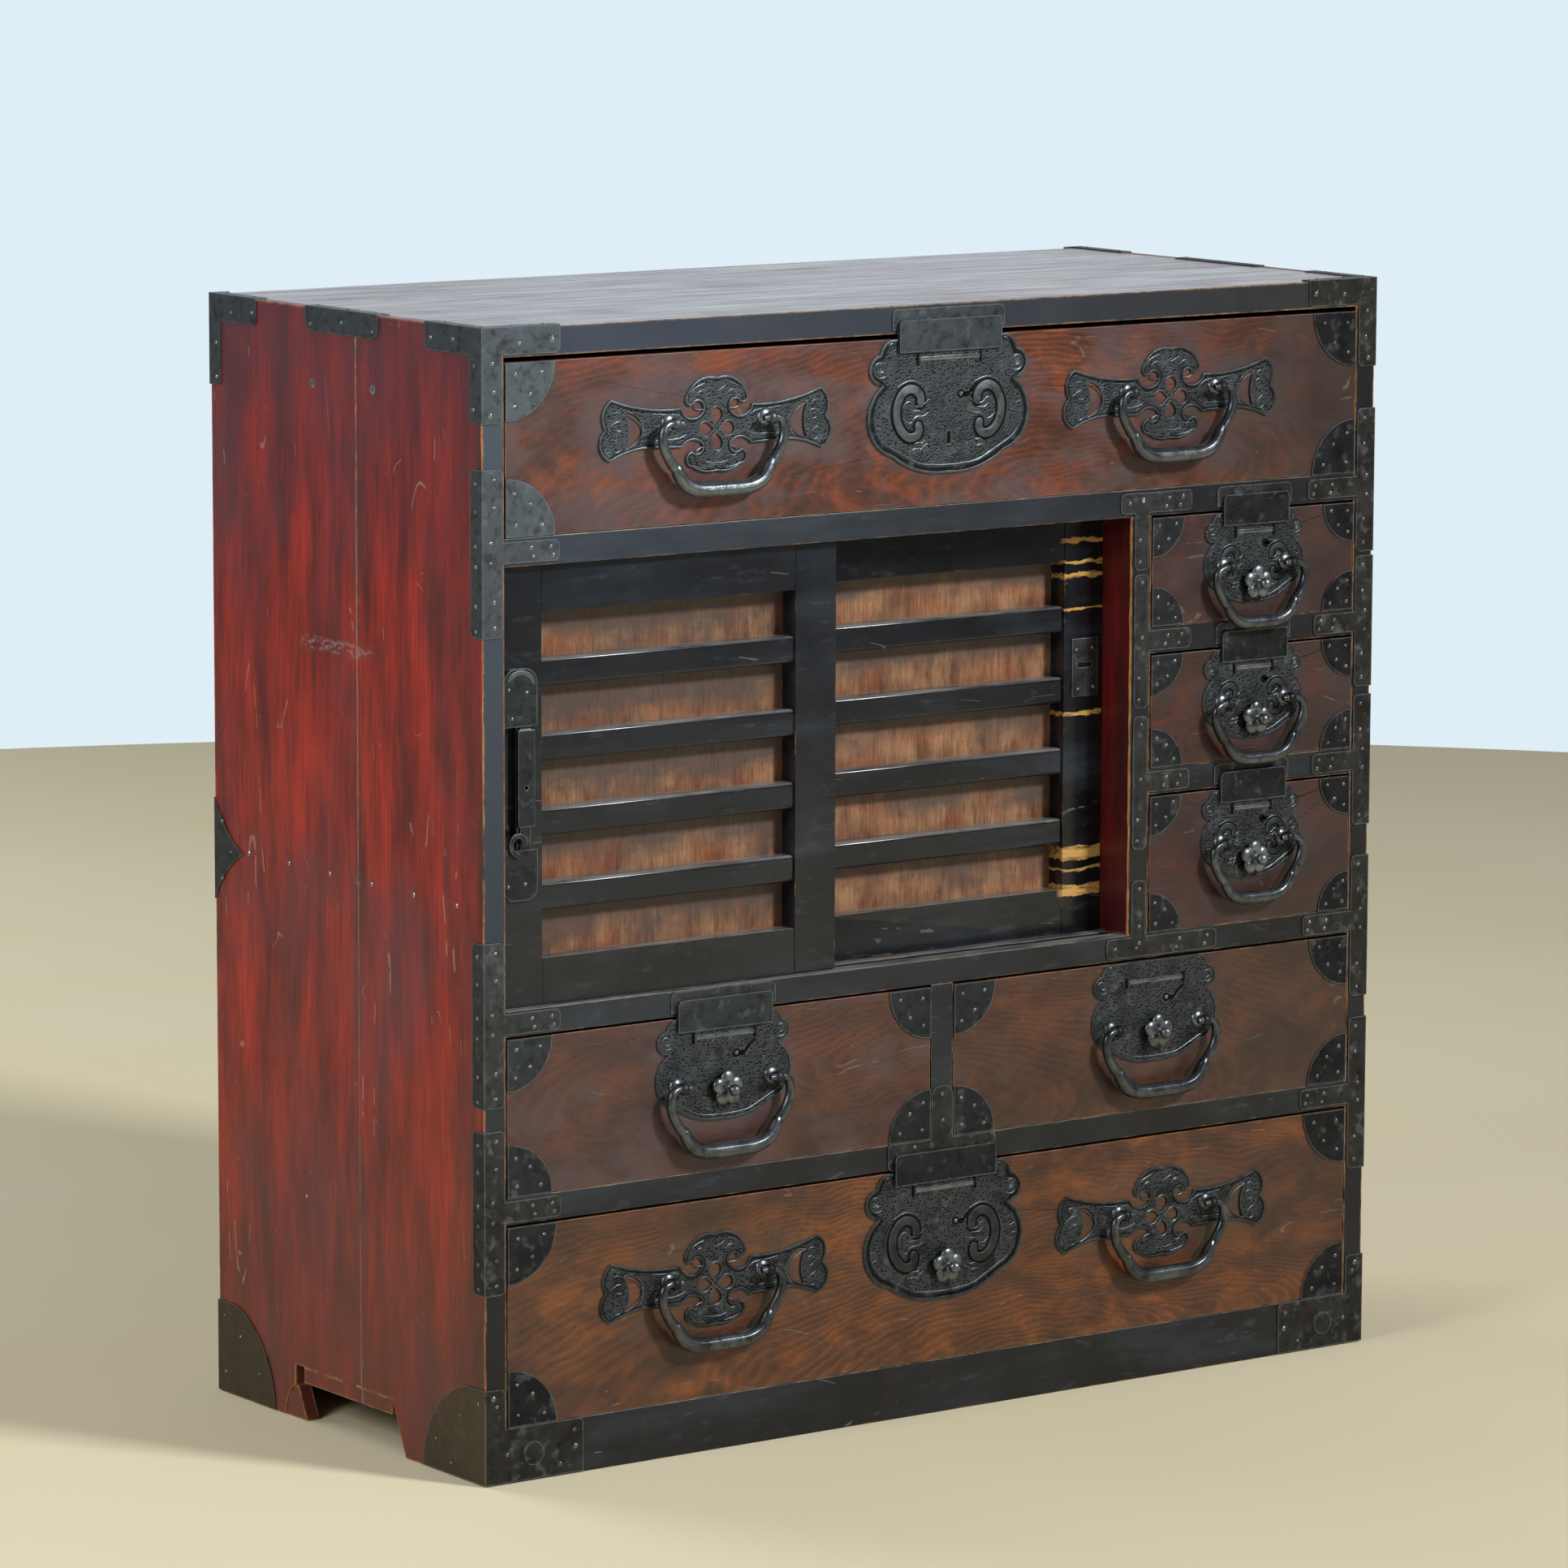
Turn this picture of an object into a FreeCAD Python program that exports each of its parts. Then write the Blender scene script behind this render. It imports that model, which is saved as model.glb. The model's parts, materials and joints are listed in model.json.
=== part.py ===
import FreeCAD, Part
import math
import os

# A Japanese clothing chest in millimetres: +Z up, the front faces -Y, the origin
# lies on the floor under the middle of its whole outline.

# Carcase
WIDTH = 900.0
DEPTH = 406.0
SIDE_BOARD = 20.0
SIDE_JOINT = 184.0
TOP_BOARD = 23.0
TOP_LIP = 10.0
BASE_RAIL = 45.0
BASE_RAIL_DEPTH = 22.0
BOTTOM_OPENING = 164.0
LOWER_RAIL = 22.0
HALF_OPENING = 129.0
MIDDLE_RAIL = 21.0
DOOR_OPENING = 351.0
UPPER_RAIL = 23.0
TOP_OPENING = 141.0
RAIL_DEPTH = 40.0
TRACK_RAIL_DEPTH = 66.0
HOUSING = 5.0
HOUSING_SETBACK = 8.0
DUST_BOARD = 8.0
BOTTOM_BOARD = 12.0
BACK_BOARD = 9.0
BACK_BOARDS = 5
BACK_LAP = 10.0
BACK_SEAM = 0.4
BACK_FOOT = 6.0

# Partition, divider and shelf
PARTITION = 21.0
SMALL_WIDTH = 218.0
SMALL_RAIL = 22.0
LOW_SMALL_OPENING = 117.0
MID_SMALL_OPENING = 97.0
LEFT_HALF_WIDTH = 417.0
DIVIDER = 22.0
GUIDE = 12.0
SHELF = 10.0
SHELF_ABOVE_SILL = 76.0
SHELF_SETBACK = 72.0

# Foot notches in the sides, measured back from the front
NOTCH_FRONT = 118.0
NOTCH_SLANT = 20.0
NOTCH_LENGTH = 168.0
BATTEN = 13.0
BATTEN_STOP = 13.0
WEDGE_HEIGHT = 28.0
WEDGE_TOP = 2.5
WEDGE_AHEAD = 16.0
WEDGE_BEHIND = 16.0
WEDGE_ARC_SHARE = (0.7, 0.6)
WEDGE_THICK = 12.0
WEDGE_SETBACK = 1.0

# Drawers
DRAWER_FRONT = 20.0
DRAWER_SIDE = 9.0
DRAWER_BOTTOM = 6.0
DRAWER_GAP = 1.0
RUN_GAP = 0.5
TOP_GAP = 2.0
TOP_DRAWER_GAP = 4.0
DRAWER_BACK_GAP = 6.0
DRAWER_SIDE_DROP = 6.0

# Sliding doors
DOOR = 24.0
DOOR_RECESS = 9.0
DOOR_SPACE = 5.0
DOOR_OVERLAP = 30.0
DOOR_END_GAP = 0.5
DOOR_TOP_GAP = 1.0
STILE = 40.0
DOOR_RAIL = 37.0
TONGUE = 8.0
LOWER_TONGUE = 5.0
UPPER_TONGUE = 10.0
TRACK_CLEARANCE = 0.5
GROOVE_EXTRA = 1.5
PANEL = 4.0
PANEL_RECESS = 18.0
PANEL_HOUSING = 5.0
BAR = 22.0
BARS = 4
BAR_RECESS = 2.0
BAR_ROUND = 3.0

# Sheet iron on the carcase
STRAP = 1.2
BRACKET_WRAP = 10.0
POST_STRAP = 18.0
SIDE_STRAP = 16.0
STRAP_ROUND = 4.5
TOP_BRACKET_DROP = 21.0
TOP_BRACKET_FRONT = 72.0
TOP_BRACKET_SIDE = 81.0
TOP_BRACKET_BACK = 72.0
TOP_BRACKET_LEG = 74.0
MID_BRACKET_FROM = 149.0
MID_BRACKET_LENGTH = 109.0
MID_BRACKET_DROP = 19.0
FOOT_BRACKET = 92.0
FOOT_BRACKET_BACK = 89.0
FOOT_BRACKET_TOP = 78.0
FOOT_BRACKET_LEVEL_SHARE = 0.3
FOOT_BRACKET_ARC_SHARE = (0.8, 0.63)
FOOT_BOSS = 9.4
FOOT_BOSS_PROUD = 2.0
FOOT_BOSS_IN = 44.0
STRAP_ARM = 53.0
STRAP_ARM_HEIGHT = 17.0
STRAP_REACH = 66.0
SMALL_STRAP_REACH = 56.0
SMALL_ARM = 45.0
PARTITION_STRAP = 15.0
LOCK_ARM_LEFT = 26.0
LOCK_ARM_RIGHT = 76.0
BACK_PLATE_HEIGHT = 85.0
BACK_PLATE_WIDTH = 45.0
BACK_PLATE_CENTRE = 460.0
DIVIDER_STRAP = 44.0
DIVIDER_WING = 110.0
STRIKE_MARGIN = 5.0
STRIKE_HEIGHT = 17.0
NAIL = 2.2
NAIL_PROUD = 1.0
NAIL_INSET = 7.0
SHELF_NAILS = 6
SHELF_NAIL_MARGIN = 40.0

# Lock plates: width, height, flap width, slot width, corner plate radius
LARGE_LOCK = (162.0, 111.0, 103.0, 62.0)
MEDIUM_LOCK = (132.0, 86.0, 92.0, 59.0)
SMALL_LOCK = (106.0, 77.0, 70.0, 40.0)
LARGE_CORNER = 46.0
MEDIUM_CORNER = 42.0
SMALL_CORNER = 33.0
LOCK_PLATE = 1.5
FLAP = 3.0
FLAP_BELOW = 11.0
FLAP_ABOVE = 15.0
FLAP_ROUND = 4.0
SLOT_BAR = 3.0
SLOT_BAR_PROUD = 1.0
SLOT_BELOW_TOP = 17.0
KEYHOLE = 3.6
KEYHOLE_PIN = 1.8
KEYHOLE_RIGHT = 12.0
KEYHOLE_TAIL = 12.0
KEYHOLE_TAIL_WIDTH = 3.0
KEYHOLE_BEND = 8.0
KEYHOLE_TAIL_END = 8.0
KEYHOLE_TAIL_TURN = 45.0
LARGE_KEY_DROP = 47.0
KEY_DROP = 33.0
SMALL_KEY_DROP = 28.0
LOCK_CASE_WIDTH = 56.0
LOCK_CASE_BELOW = 10.0
LOCK_CASE_DEPTH = 12.0
LOCK_CASE_WALL = 2.0
LOCK_CASE_DROP = 6.0
LOCK_BOLT = 16.0
LOCK_CAM = 6.0
LOCK_CAM_THICK = 3.0
LOCK_BOLT_CLEARANCE = 2.0
SPINDLE_SLOT_WIDTH = 4.0
SPINDLE_SLOT_HEIGHT = 10.0

# Rosette knobs
ROSETTE = 15.0
ROSETTE_PETALS = 5
PETAL_SHARE = 0.44
ROSETTE_PLATE = 5.0
ROSETTE_OFF = 3.0
ROSETTE_PIN = 4.6
ROSETTE_PIN_REACH = 12.0
ROSETTE_COLLAR = 5.0
SPINDLE = 2.4
SPINDLE_FIT = 0.1
SPINDLE_BORE_CLEARANCE = 0.8
SPINDLE_PAST_FRONT = 8.0
LARGE_KNOB_DROP = 82.0
KNOB_DROP = 60.0

# Bails and their posts: half spacing of the posts, half width, drop, half width of the foot
LARGE_BAIL = (46.5, 58.0, 53.0, 24.0)
SMALL_BAIL = (33.0, 47.0, 47.0, 17.0)
BAIL_END = 2.4
BAIL_NECK = 3.4
BAIL_BODY = 5.3
SMALL_BAIL_BODY = 4.6
BAIL_FIT = 0.1
POST_PROUD = 10.0
POST_BALL = 5.2
POST_STEM = 3.4
POST_DOME = 7.0
POST_DOME_HEIGHT = 3.5
POST_PAST_FRONT = 3.0
POST_BORE_CLEARANCE = 0.3
BAIL_PIN_PAST = 3.0
HANDLE_OFFSET = 229.5
TOP_HANDLE_HEIGHT = 78.0
BOTTOM_HANDLE_HEIGHT = 96.0
HANDLE_WING = 111.0
HANDLE_HALF_HEIGHT = 38.0
HANDLE_POST_RISE = 4.0
MEDIUM_POST_DROP = 55.0
SMALL_POST_DROP = 45.0

# Latch of the left door and catch of the right one
LATCH_LEFT = 1.5
LATCH_WIDTH = 32.0
LATCH_PLATE = 3.5
LATCH_UPPER = 46.0
LATCH_LOWER = 40.0
LATCH_SPAN = 98.0
LATCH_BOTTOM = 86.0
LATCH_BAR = 16.0
LATCH_BAR_THICK = 3.0
LATCH_BAR_FOOT = 18.0
LATCH_BAR_HEAD = 3.0
LATCH_BAR_HOLE = 1.6
LATCH_TONGUE = 10.0
LATCH_TONGUE_THICK = 1.2
LATCH_TONGUE_TUCK = 14.0
LATCH_CLEARANCE = 0.4
LATCH_TRAVEL = 10.0
LATCH_POCKET = 5.0
CATCH_WIDTH = 27.0
CATCH_HEIGHT = 49.0
CATCH_BOTTOM = 199.0
CATCH_SLOT_WIDTH = 15.0
CATCH_SLOT_HEIGHT = 4.0

# Outline of half a lock plate, from its tip to its top: shares of half the width and of the height
LOCK_OUTLINE_SHARES = (
    ((0.40, 0.03), (0.70, 0.14)),
    ((1.00, 0.375), (0.82, 0.67)),
    ((0.985, 0.785), (0.85, 0.893)),
    ((0.80, 0.965), (0.70, 1.00)),
)
# Outline of half a handle plate, from its top to its foot: shares of the wing and of half the height
HANDLE_OUTLINE_SHARES = (
    ((0.20, 0.89), (0.27, 0.60)),
    ((0.255, 0.45), (0.205, 0.45)),
    ((0.115, 0.40), (0.125, 0.29)),
    ((0.21, 0.17), (0.31, 0.40)),
    ((0.60, 0.43), (0.91, 0.66)),
    ((0.985, 0.40), (0.965, 0.04)),
    ((1.01, -0.34), (0.92, -0.63)),
    ((0.76, -0.46), (0.60, -0.40)),
    ((0.44, -0.42), (0.30, -0.43)),
    ((0.20, -0.29), (0.125, -0.38)),
    ((0.13, -0.51), (0.21, -0.52)),
    ((0.265, -0.64), (0.21, -0.86)),
    ((0.11, -0.98), (0.00, -0.97)),
)
HANDLE_PETALS = 4
HANDLE_PETAL = 6.3
HANDLE_PETAL_RING = 11.4
HANDLE_PETAL_TIP = 2.6
HANDLE_FLOWER_DROP = 3.0
# The pierced crescent in a wing: its corners and the middles of its two arcs
CRESCENT_TOP_SHARE = (0.80, 0.37)
CRESCENT_BACK_SHARE = (0.64, -0.04)
CRESCENT_FOOT_SHARE = (0.80, -0.42)
CRESCENT_BELLY_SHARE = (0.765, -0.04)
BAIL_BEND_ANGLES = (40, 65, 90)
BAIL_WIDEST_SHARE = 0.28
# Below its widest place: shares of the half width past the foot and of the drop
BAIL_LINE_SHARES = (
    (0.98, 0.38),
    (0.88, 0.51),
    (0.72, 0.62),
    (0.52, 0.72),
    (0.28, 0.82),
    (0.00, 0.92),
    (-0.40, 1.00),
)
BAIL_THICKNESS_SHARES = (0.15, 0.30, 0.50, 0.80, 0.92, 1.00, 1.00)
SIDES = (-1, 1)
OVERRUN = 2.0

# Levels, from the floor up
BOTTOM_FLOOR = BASE_RAIL
LOWER_RAIL_FOOT = BOTTOM_FLOOR + BOTTOM_OPENING
HALF_FLOOR = LOWER_RAIL_FOOT + LOWER_RAIL
MIDDLE_RAIL_FOOT = HALF_FLOOR + HALF_OPENING
SILL = MIDDLE_RAIL_FOOT + MIDDLE_RAIL
UPPER_RAIL_FOOT = SILL + DOOR_OPENING
TOP_FLOOR = UPPER_RAIL_FOOT + UPPER_RAIL
TOP_BOARD_FOOT = TOP_FLOOR + TOP_OPENING
HEIGHT = TOP_BOARD_FOOT + TOP_BOARD
LOW_RAIL_FOOT = SILL + LOW_SMALL_OPENING
MID_FLOOR = LOW_RAIL_FOOT + SMALL_RAIL
MID_RAIL_FOOT = MID_FLOOR + MID_SMALL_OPENING
UP_FLOOR = MID_RAIL_FOOT + SMALL_RAIL

# Places across the chest
LEFT = -WIDTH / 2
RIGHT = WIDTH / 2
INNER_LEFT = LEFT + SIDE_BOARD
INNER_RIGHT = RIGHT - SIDE_BOARD
PARTITION_RIGHT = INNER_RIGHT - SMALL_WIDTH
PARTITION_LEFT = PARTITION_RIGHT - PARTITION
DIVIDER_LEFT = INNER_LEFT + LEFT_HALF_WIDTH
DIVIDER_RIGHT = DIVIDER_LEFT + DIVIDER

# Places from the front to the back, counted from the front of the posts
BAIL_REACH = POST_PROUD + LOCK_PLATE + BAIL_BODY
KNOB_REACH = LOCK_PLATE + ROSETTE_OFF + ROSETTE_PLATE + ROSETTE_PIN_REACH
PROUD = max(BAIL_REACH, KNOB_REACH)
FRONT_Y = (PROUD - DEPTH - STRAP) / 2
BACK_FACE = DEPTH - BACK_BOARD
REAR_RECESS = DOOR_RECESS + DOOR + DOOR_SPACE


def board(x0, x1, deep0, deep1, z0, z1):
    """A box between two places across, two depths behind the front and two heights."""
    corner = FreeCAD.Vector(x0, FRONT_Y + deep0, z0)
    return Part.makeBox(x1 - x0, deep1 - deep0, z1 - z0, corner)


def outline(start, steps):
    """Edges in the XZ plane: a step is one point, or the middle and the end of an arc."""
    edges = []
    here = FreeCAD.Vector(start[0], 0, start[1])
    for step in steps:
        end = FreeCAD.Vector(step[-1][0], 0, step[-1][1])
        if len(step) == 1:
            edges.append(Part.makeLine(here, end))
        else:
            middle = FreeCAD.Vector(step[0][0], 0, step[0][1])
            edges.append(Part.Arc(here, middle, end).toShape())
        here = end
    return edges


def sheet(edges, thickness):
    """A flat plate that stands forwards of the XZ plane."""
    wire = Part.Wire(Part.__sortEdges__(edges))
    plate = Part.Face(wire).extrude(FreeCAD.Vector(0, -thickness, 0))
    return plate


def placed(shape, x, deep, z):
    """A copy of a shape moved across, behind the front and up."""
    copy = shape.copy()
    copy.translate(FreeCAD.Vector(x, FRONT_Y + deep, z))
    return copy


def scaled_steps(shares, across, up):
    """Steps of an outline from its shares of two sizes."""
    return [tuple((x * across, z * up) for x, z in step) for step in shares]


def mirrored_plate(top, steps, thickness):
    """A plate from the outline of its right half, which starts and ends on its middle line."""
    right = outline(top, steps)
    plane = FreeCAD.Vector(1, 0, 0)
    left = [edge.mirror(FreeCAD.Vector(0, 0, 0), plane) for edge in right]
    return sheet(right + left, thickness)


def rounded(x0, x1, z0, z1, radius, corners, thickness):
    """A rectangular plate with some corners rounded: corners names them from lt, rt, rb, lb."""
    cut = radius * (1 - math.sqrt(2) / 2)
    steps = []
    if "rt" in corners:
        steps += [((x1 - radius, z1),), ((x1 - cut, z1 - cut), (x1, z1 - radius))]
    else:
        steps += [((x1, z1),)]
    if "rb" in corners:
        steps += [((x1, z0 + radius),), ((x1 - cut, z0 + cut), (x1 - radius, z0))]
    else:
        steps += [((x1, z0),)]
    if "lb" in corners:
        steps += [((x0 + radius, z0),), ((x0 + cut, z0 + cut), (x0, z0 + radius))]
    else:
        steps += [((x0, z0),)]
    start = (x0, z1)
    if "lt" in corners:
        start = (x0 + radius, z1)
        steps += [((x0, z1 - radius),), ((x0 + cut, z1 - cut), start)]
    else:
        steps += [(start,)]
    return sheet(outline(start, steps), thickness)


def on_side(shape, side):
    """Turns a plate of the XZ plane, whose X is the depth, onto the left or right side."""
    copy = shape.copy()
    if side < 0:
        copy.rotate(FreeCAD.Vector(0, 0, 0), FreeCAD.Vector(0, 0, 1), -90)
        copy = copy.mirror(FreeCAD.Vector(0, 0, 0), FreeCAD.Vector(0, 1, 0))
    else:
        copy.rotate(FreeCAD.Vector(0, 0, 0), FreeCAD.Vector(0, 0, 1), 90)
    copy.translate(FreeCAD.Vector(side * WIDTH / 2, FRONT_Y, 0))
    return copy


def along_y(radius, length, x, deep, z):
    """A round bar that runs backwards from a depth."""
    place = FreeCAD.Vector(x, FRONT_Y + deep, z)
    return Part.makeCylinder(radius, length, place, FreeCAD.Vector(0, 1, 0))


def along_x(radius, x0, x1, deep, z):
    """A round bar across the chest."""
    place = FreeCAD.Vector(x0, FRONT_Y + deep, z)
    return Part.makeCylinder(radius, x1 - x0, place, FreeCAD.Vector(1, 0, 0))


def dome(radius, height, x, deep, z):
    """A spherical cap that stands forwards of a depth."""
    ball = (radius * radius + height * height) / (2 * height)
    lean = math.asin(radius / ball) / 2
    half = (ball * math.sin(lean), ball * math.cos(lean) - ball + height)
    edges = [
        Part.makeLine(FreeCAD.Vector(0, -height, 0), FreeCAD.Vector(0, 0, 0)),
        Part.makeLine(FreeCAD.Vector(0, 0, 0), FreeCAD.Vector(radius, 0, 0)),
        Part.Arc(
            FreeCAD.Vector(radius, 0, 0), FreeCAD.Vector(half[0], -half[1], 0), FreeCAD.Vector(0, -height, 0)
        ).toShape(),
    ]
    face = Part.Face(Part.Wire(edges))
    cap = face.revolve(FreeCAD.Vector(0, 0, 0), FreeCAD.Vector(0, 1, 0), 360)
    return placed(cap, x, deep, z)


def fused(shapes):
    """One solid from pieces that meet."""
    whole = shapes[0]
    for shape in shapes[1:]:
        whole = whole.fuse(shape)
    return whole.removeSplitter()


def export(name, shapes):
    """Writes one node."""
    shape = shapes[0] if len(shapes) == 1 else Part.makeCompound(shapes)
    shape.exportStep("parts/" + name + ".step")


# Rails and boards of the carcase


def housed(x0, x1, depth, z0, z1):
    """A front rail whose ends are housed in its neighbours, behind their front edges."""
    face = board(x0, x1, 0, depth, z0, z1)
    tenons = board(x0 - HOUSING, x1 + HOUSING, HOUSING_SETBACK, depth, z0, z1)
    return fused([face, tenons])


def door_grooves(recess, level, height):
    """The two grooves of the sliding doors, cut from the opening into a rail."""
    middle = recess + DOOR / 2
    half = TONGUE / 2 + TRACK_CLEARANCE
    return board(INNER_LEFT, PARTITION_LEFT, middle - half, middle + half, level, level + height)


def dust_board(x0, x1, start, top):
    """A thin board behind a rail, flush with its top, on which a drawer runs."""
    return board(x0 - HOUSING, x1 + HOUSING, start, BACK_FACE, top - DUST_BOARD, top)


def make_rails():
    rails = {}
    rails["base"] = housed(INNER_LEFT, INNER_RIGHT, BASE_RAIL_DEPTH, 0, BASE_RAIL)
    rails["lower"] = housed(INNER_LEFT, INNER_RIGHT, RAIL_DEPTH, LOWER_RAIL_FOOT, HALF_FLOOR)
    middle = housed(INNER_LEFT, INNER_RIGHT, TRACK_RAIL_DEPTH, MIDDLE_RAIL_FOOT, SILL)
    upper = housed(INNER_LEFT, INNER_RIGHT, TRACK_RAIL_DEPTH, UPPER_RAIL_FOOT, TOP_FLOOR)
    low_groove = LOWER_TONGUE + GROOVE_EXTRA
    high_groove = UPPER_TONGUE + GROOVE_EXTRA
    for recess in (DOOR_RECESS, REAR_RECESS):
        middle = middle.cut(door_grooves(recess, SILL - low_groove, low_groove + OVERRUN))
        upper = upper.cut(door_grooves(recess, UPPER_RAIL_FOOT - OVERRUN, high_groove + OVERRUN))
    rails["middle"] = middle
    rails["upper"] = upper
    for name, foot in (("low_small", LOW_RAIL_FOOT), ("mid_small", MID_RAIL_FOOT)):
        rails[name] = housed(PARTITION_RIGHT, INNER_RIGHT, RAIL_DEPTH, foot, foot + SMALL_RAIL)
    back_start = BACK_FACE - BASE_RAIL_DEPTH
    rails["back_base"] = board(
        INNER_LEFT - HOUSING, INNER_RIGHT + HOUSING, back_start, BACK_FACE, 0, BASE_RAIL - BOTTOM_BOARD
    )
    return rails


def make_dust_boards():
    return [
        dust_board(INNER_LEFT, INNER_RIGHT, RAIL_DEPTH, HALF_FLOOR),
        dust_board(INNER_LEFT, INNER_RIGHT, TRACK_RAIL_DEPTH, SILL),
        dust_board(INNER_LEFT, INNER_RIGHT, TRACK_RAIL_DEPTH, TOP_FLOOR),
        dust_board(PARTITION_RIGHT, INNER_RIGHT, RAIL_DEPTH, MID_FLOOR),
        dust_board(PARTITION_RIGHT, INNER_RIGHT, RAIL_DEPTH, UP_FLOOR),
    ]


def make_back_boards():
    pitch = (WIDTH - 2 * (SIDE_BOARD - BACK_LAP)) / BACK_BOARDS
    start = LEFT + SIDE_BOARD - BACK_LAP
    boards = []
    for index in range(BACK_BOARDS):
        x0 = start + index * pitch
        boards.append(board(x0, x0 + pitch - BACK_SEAM, BACK_FACE, DEPTH, BACK_FOOT, TOP_BOARD_FOOT))
    return boards


def wedge_arc(back):
    """Middle of the wedge's round back, which starts at its height under the batten's end."""
    across, up = WEDGE_ARC_SHARE
    return (back + across * WEDGE_BEHIND, up * WEDGE_HEIGHT)


def notch_outline():
    """The foot notch in a side, seen from the side: depth across, height up."""
    back = NOTCH_FRONT + NOTCH_LENGTH
    heel = back + WEDGE_BEHIND
    start = (NOTCH_FRONT, -OVERRUN)
    steps = [
        ((NOTCH_FRONT, 0),),
        ((NOTCH_FRONT + NOTCH_SLANT, BASE_RAIL),),
        ((back, BASE_RAIL),),
        ((back, WEDGE_HEIGHT),),
        (wedge_arc(back), (heel, 0)),
        ((heel, -OVERRUN),),
        (start,),
    ]
    return outline(start, steps)


def make_side(side, housed_pieces):
    """One side: two boards with the housings of all that they hold and the foot notch."""
    outer = side * WIDTH / 2
    inner = side * (WIDTH / 2 - SIDE_BOARD)
    x0, x1 = min(outer, inner), max(outer, inner)
    notch = sheet(notch_outline(), SIDE_BOARD + 2 * OVERRUN)
    notch = on_side(notch, side)
    notch.translate(FreeCAD.Vector(-side * (SIDE_BOARD + OVERRUN), 0, 0))
    boards = []
    for deep0, deep1 in ((0, SIDE_JOINT), (SIDE_JOINT, DEPTH)):
        plank = board(x0, x1, deep0, deep1, 0, HEIGHT)
        boards.append(plank.cut(Part.makeCompound(housed_pieces)).cut(notch))
    return boards


def make_foot_battens():
    """The batten in the top of each foot notch and the wedge with a round back under its end."""
    pieces = []
    for side in SIDES:
        outer = side * WIDTH / 2
        inner = side * (WIDTH / 2 - SIDE_BOARD + HOUSING)
        x0, x1 = min(outer, inner), max(outer, inner)
        front = NOTCH_FRONT + NOTCH_SLANT
        back = NOTCH_FRONT + NOTCH_LENGTH
        pieces.append(board(x0, x1, front, back - BATTEN_STOP, BASE_RAIL - BATTEN, BASE_RAIL))
        start = (back - WEDGE_AHEAD, 0)
        steps = [
            ((back - WEDGE_TOP, WEDGE_HEIGHT),),
            ((back, WEDGE_HEIGHT),),
            (wedge_arc(back), (back + WEDGE_BEHIND, 0)),
            (start,),
        ]
        wedge = on_side(sheet(outline(start, steps), WEDGE_THICK), side)
        wedge.translate(FreeCAD.Vector(-side * (WEDGE_THICK + WEDGE_SETBACK), 0, 0))
        pieces.append(wedge)
    return pieces


def make_divider():
    """The post between the half drawers and the guide board behind it."""
    post = board(DIVIDER_LEFT, DIVIDER_RIGHT, 0, RAIL_DEPTH, HALF_FLOOR, MIDDLE_RAIL_FOOT)
    left = (DIVIDER_LEFT + DIVIDER_RIGHT - GUIDE) / 2
    right = left + GUIDE
    low_guide = board(left, right, RAIL_DEPTH, TRACK_RAIL_DEPTH, HALF_FLOOR, MIDDLE_RAIL_FOOT)
    high_guide = board(left, right, TRACK_RAIL_DEPTH, BACK_FACE, HALF_FLOOR, SILL - DUST_BOARD)
    return [post, fused([low_guide, high_guide])]


# Iron on the carcase


def side_plate(x0, x1, z0, z1, radius, corners, side):
    """A plate on a side, with its span given as depths."""
    return on_side(rounded(x0, x1, z0, z1, radius, corners, STRAP), side)


def front_plate(x0, x1, z0, z1, radius, corners):
    """A plate on the front of the posts and rails."""
    return placed(rounded(x0, x1, z0, z1, radius, corners, STRAP), 0, 0, 0)


def swapped(x0, x1, side):
    """Mirrors a span to the other half of the chest."""
    return (x0, x1) if side < 0 else (-x1, -x0)


def outer_corner(side, *names):
    """Corner names with left and right swapped on the right half."""
    if side < 0:
        return names
    return tuple({"l": "r", "r": "l"}[name[0]] + name[1] for name in names)


def top_front_bracket(side):
    """Wraps the top front corner: two legs on the front, two on the side, two strips on the top."""
    level = HEIGHT - TOP_BRACKET_DROP
    round_end = STRAP_ROUND
    x0, x1 = swapped(LEFT - STRAP, LEFT + TOP_BRACKET_FRONT, side)
    leg0, leg1 = swapped(LEFT - STRAP, LEFT + POST_STRAP, side)
    wrap0, wrap1 = swapped(LEFT - STRAP, LEFT + BRACKET_WRAP, side)
    foot = HEIGHT - TOP_BRACKET_LEG
    top = HEIGHT + STRAP
    pieces = [
        front_plate(x0, x1, level, top, round_end, outer_corner(side, "rb")),
        front_plate(leg0, leg1, foot, level, round_end, outer_corner(side, "rb")),
        side_plate(-STRAP, TOP_BRACKET_SIDE, level, top, round_end, ("rb",), side),
        side_plate(-STRAP, SIDE_STRAP, foot, level, round_end, ("rb",), side),
        board(x0, x1, -STRAP, BRACKET_WRAP, HEIGHT, top),
        board(wrap0, wrap1, -STRAP, TOP_BRACKET_SIDE, HEIGHT, top),
    ]
    return fused(pieces)


def top_middle_bracket(side):
    """Clasps the top edge in the middle of a side."""
    end = MID_BRACKET_FROM + MID_BRACKET_LENGTH
    top = HEIGHT + STRAP
    wrap0, wrap1 = swapped(LEFT - STRAP, LEFT + BRACKET_WRAP, side)
    round_end = MID_BRACKET_DROP / 2
    leg = side_plate(
        MID_BRACKET_FROM, end, HEIGHT - MID_BRACKET_DROP, top, round_end, ("lb", "rb"), side
    )
    return fused([leg, board(wrap0, wrap1, MID_BRACKET_FROM, end, HEIGHT, top)])


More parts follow.
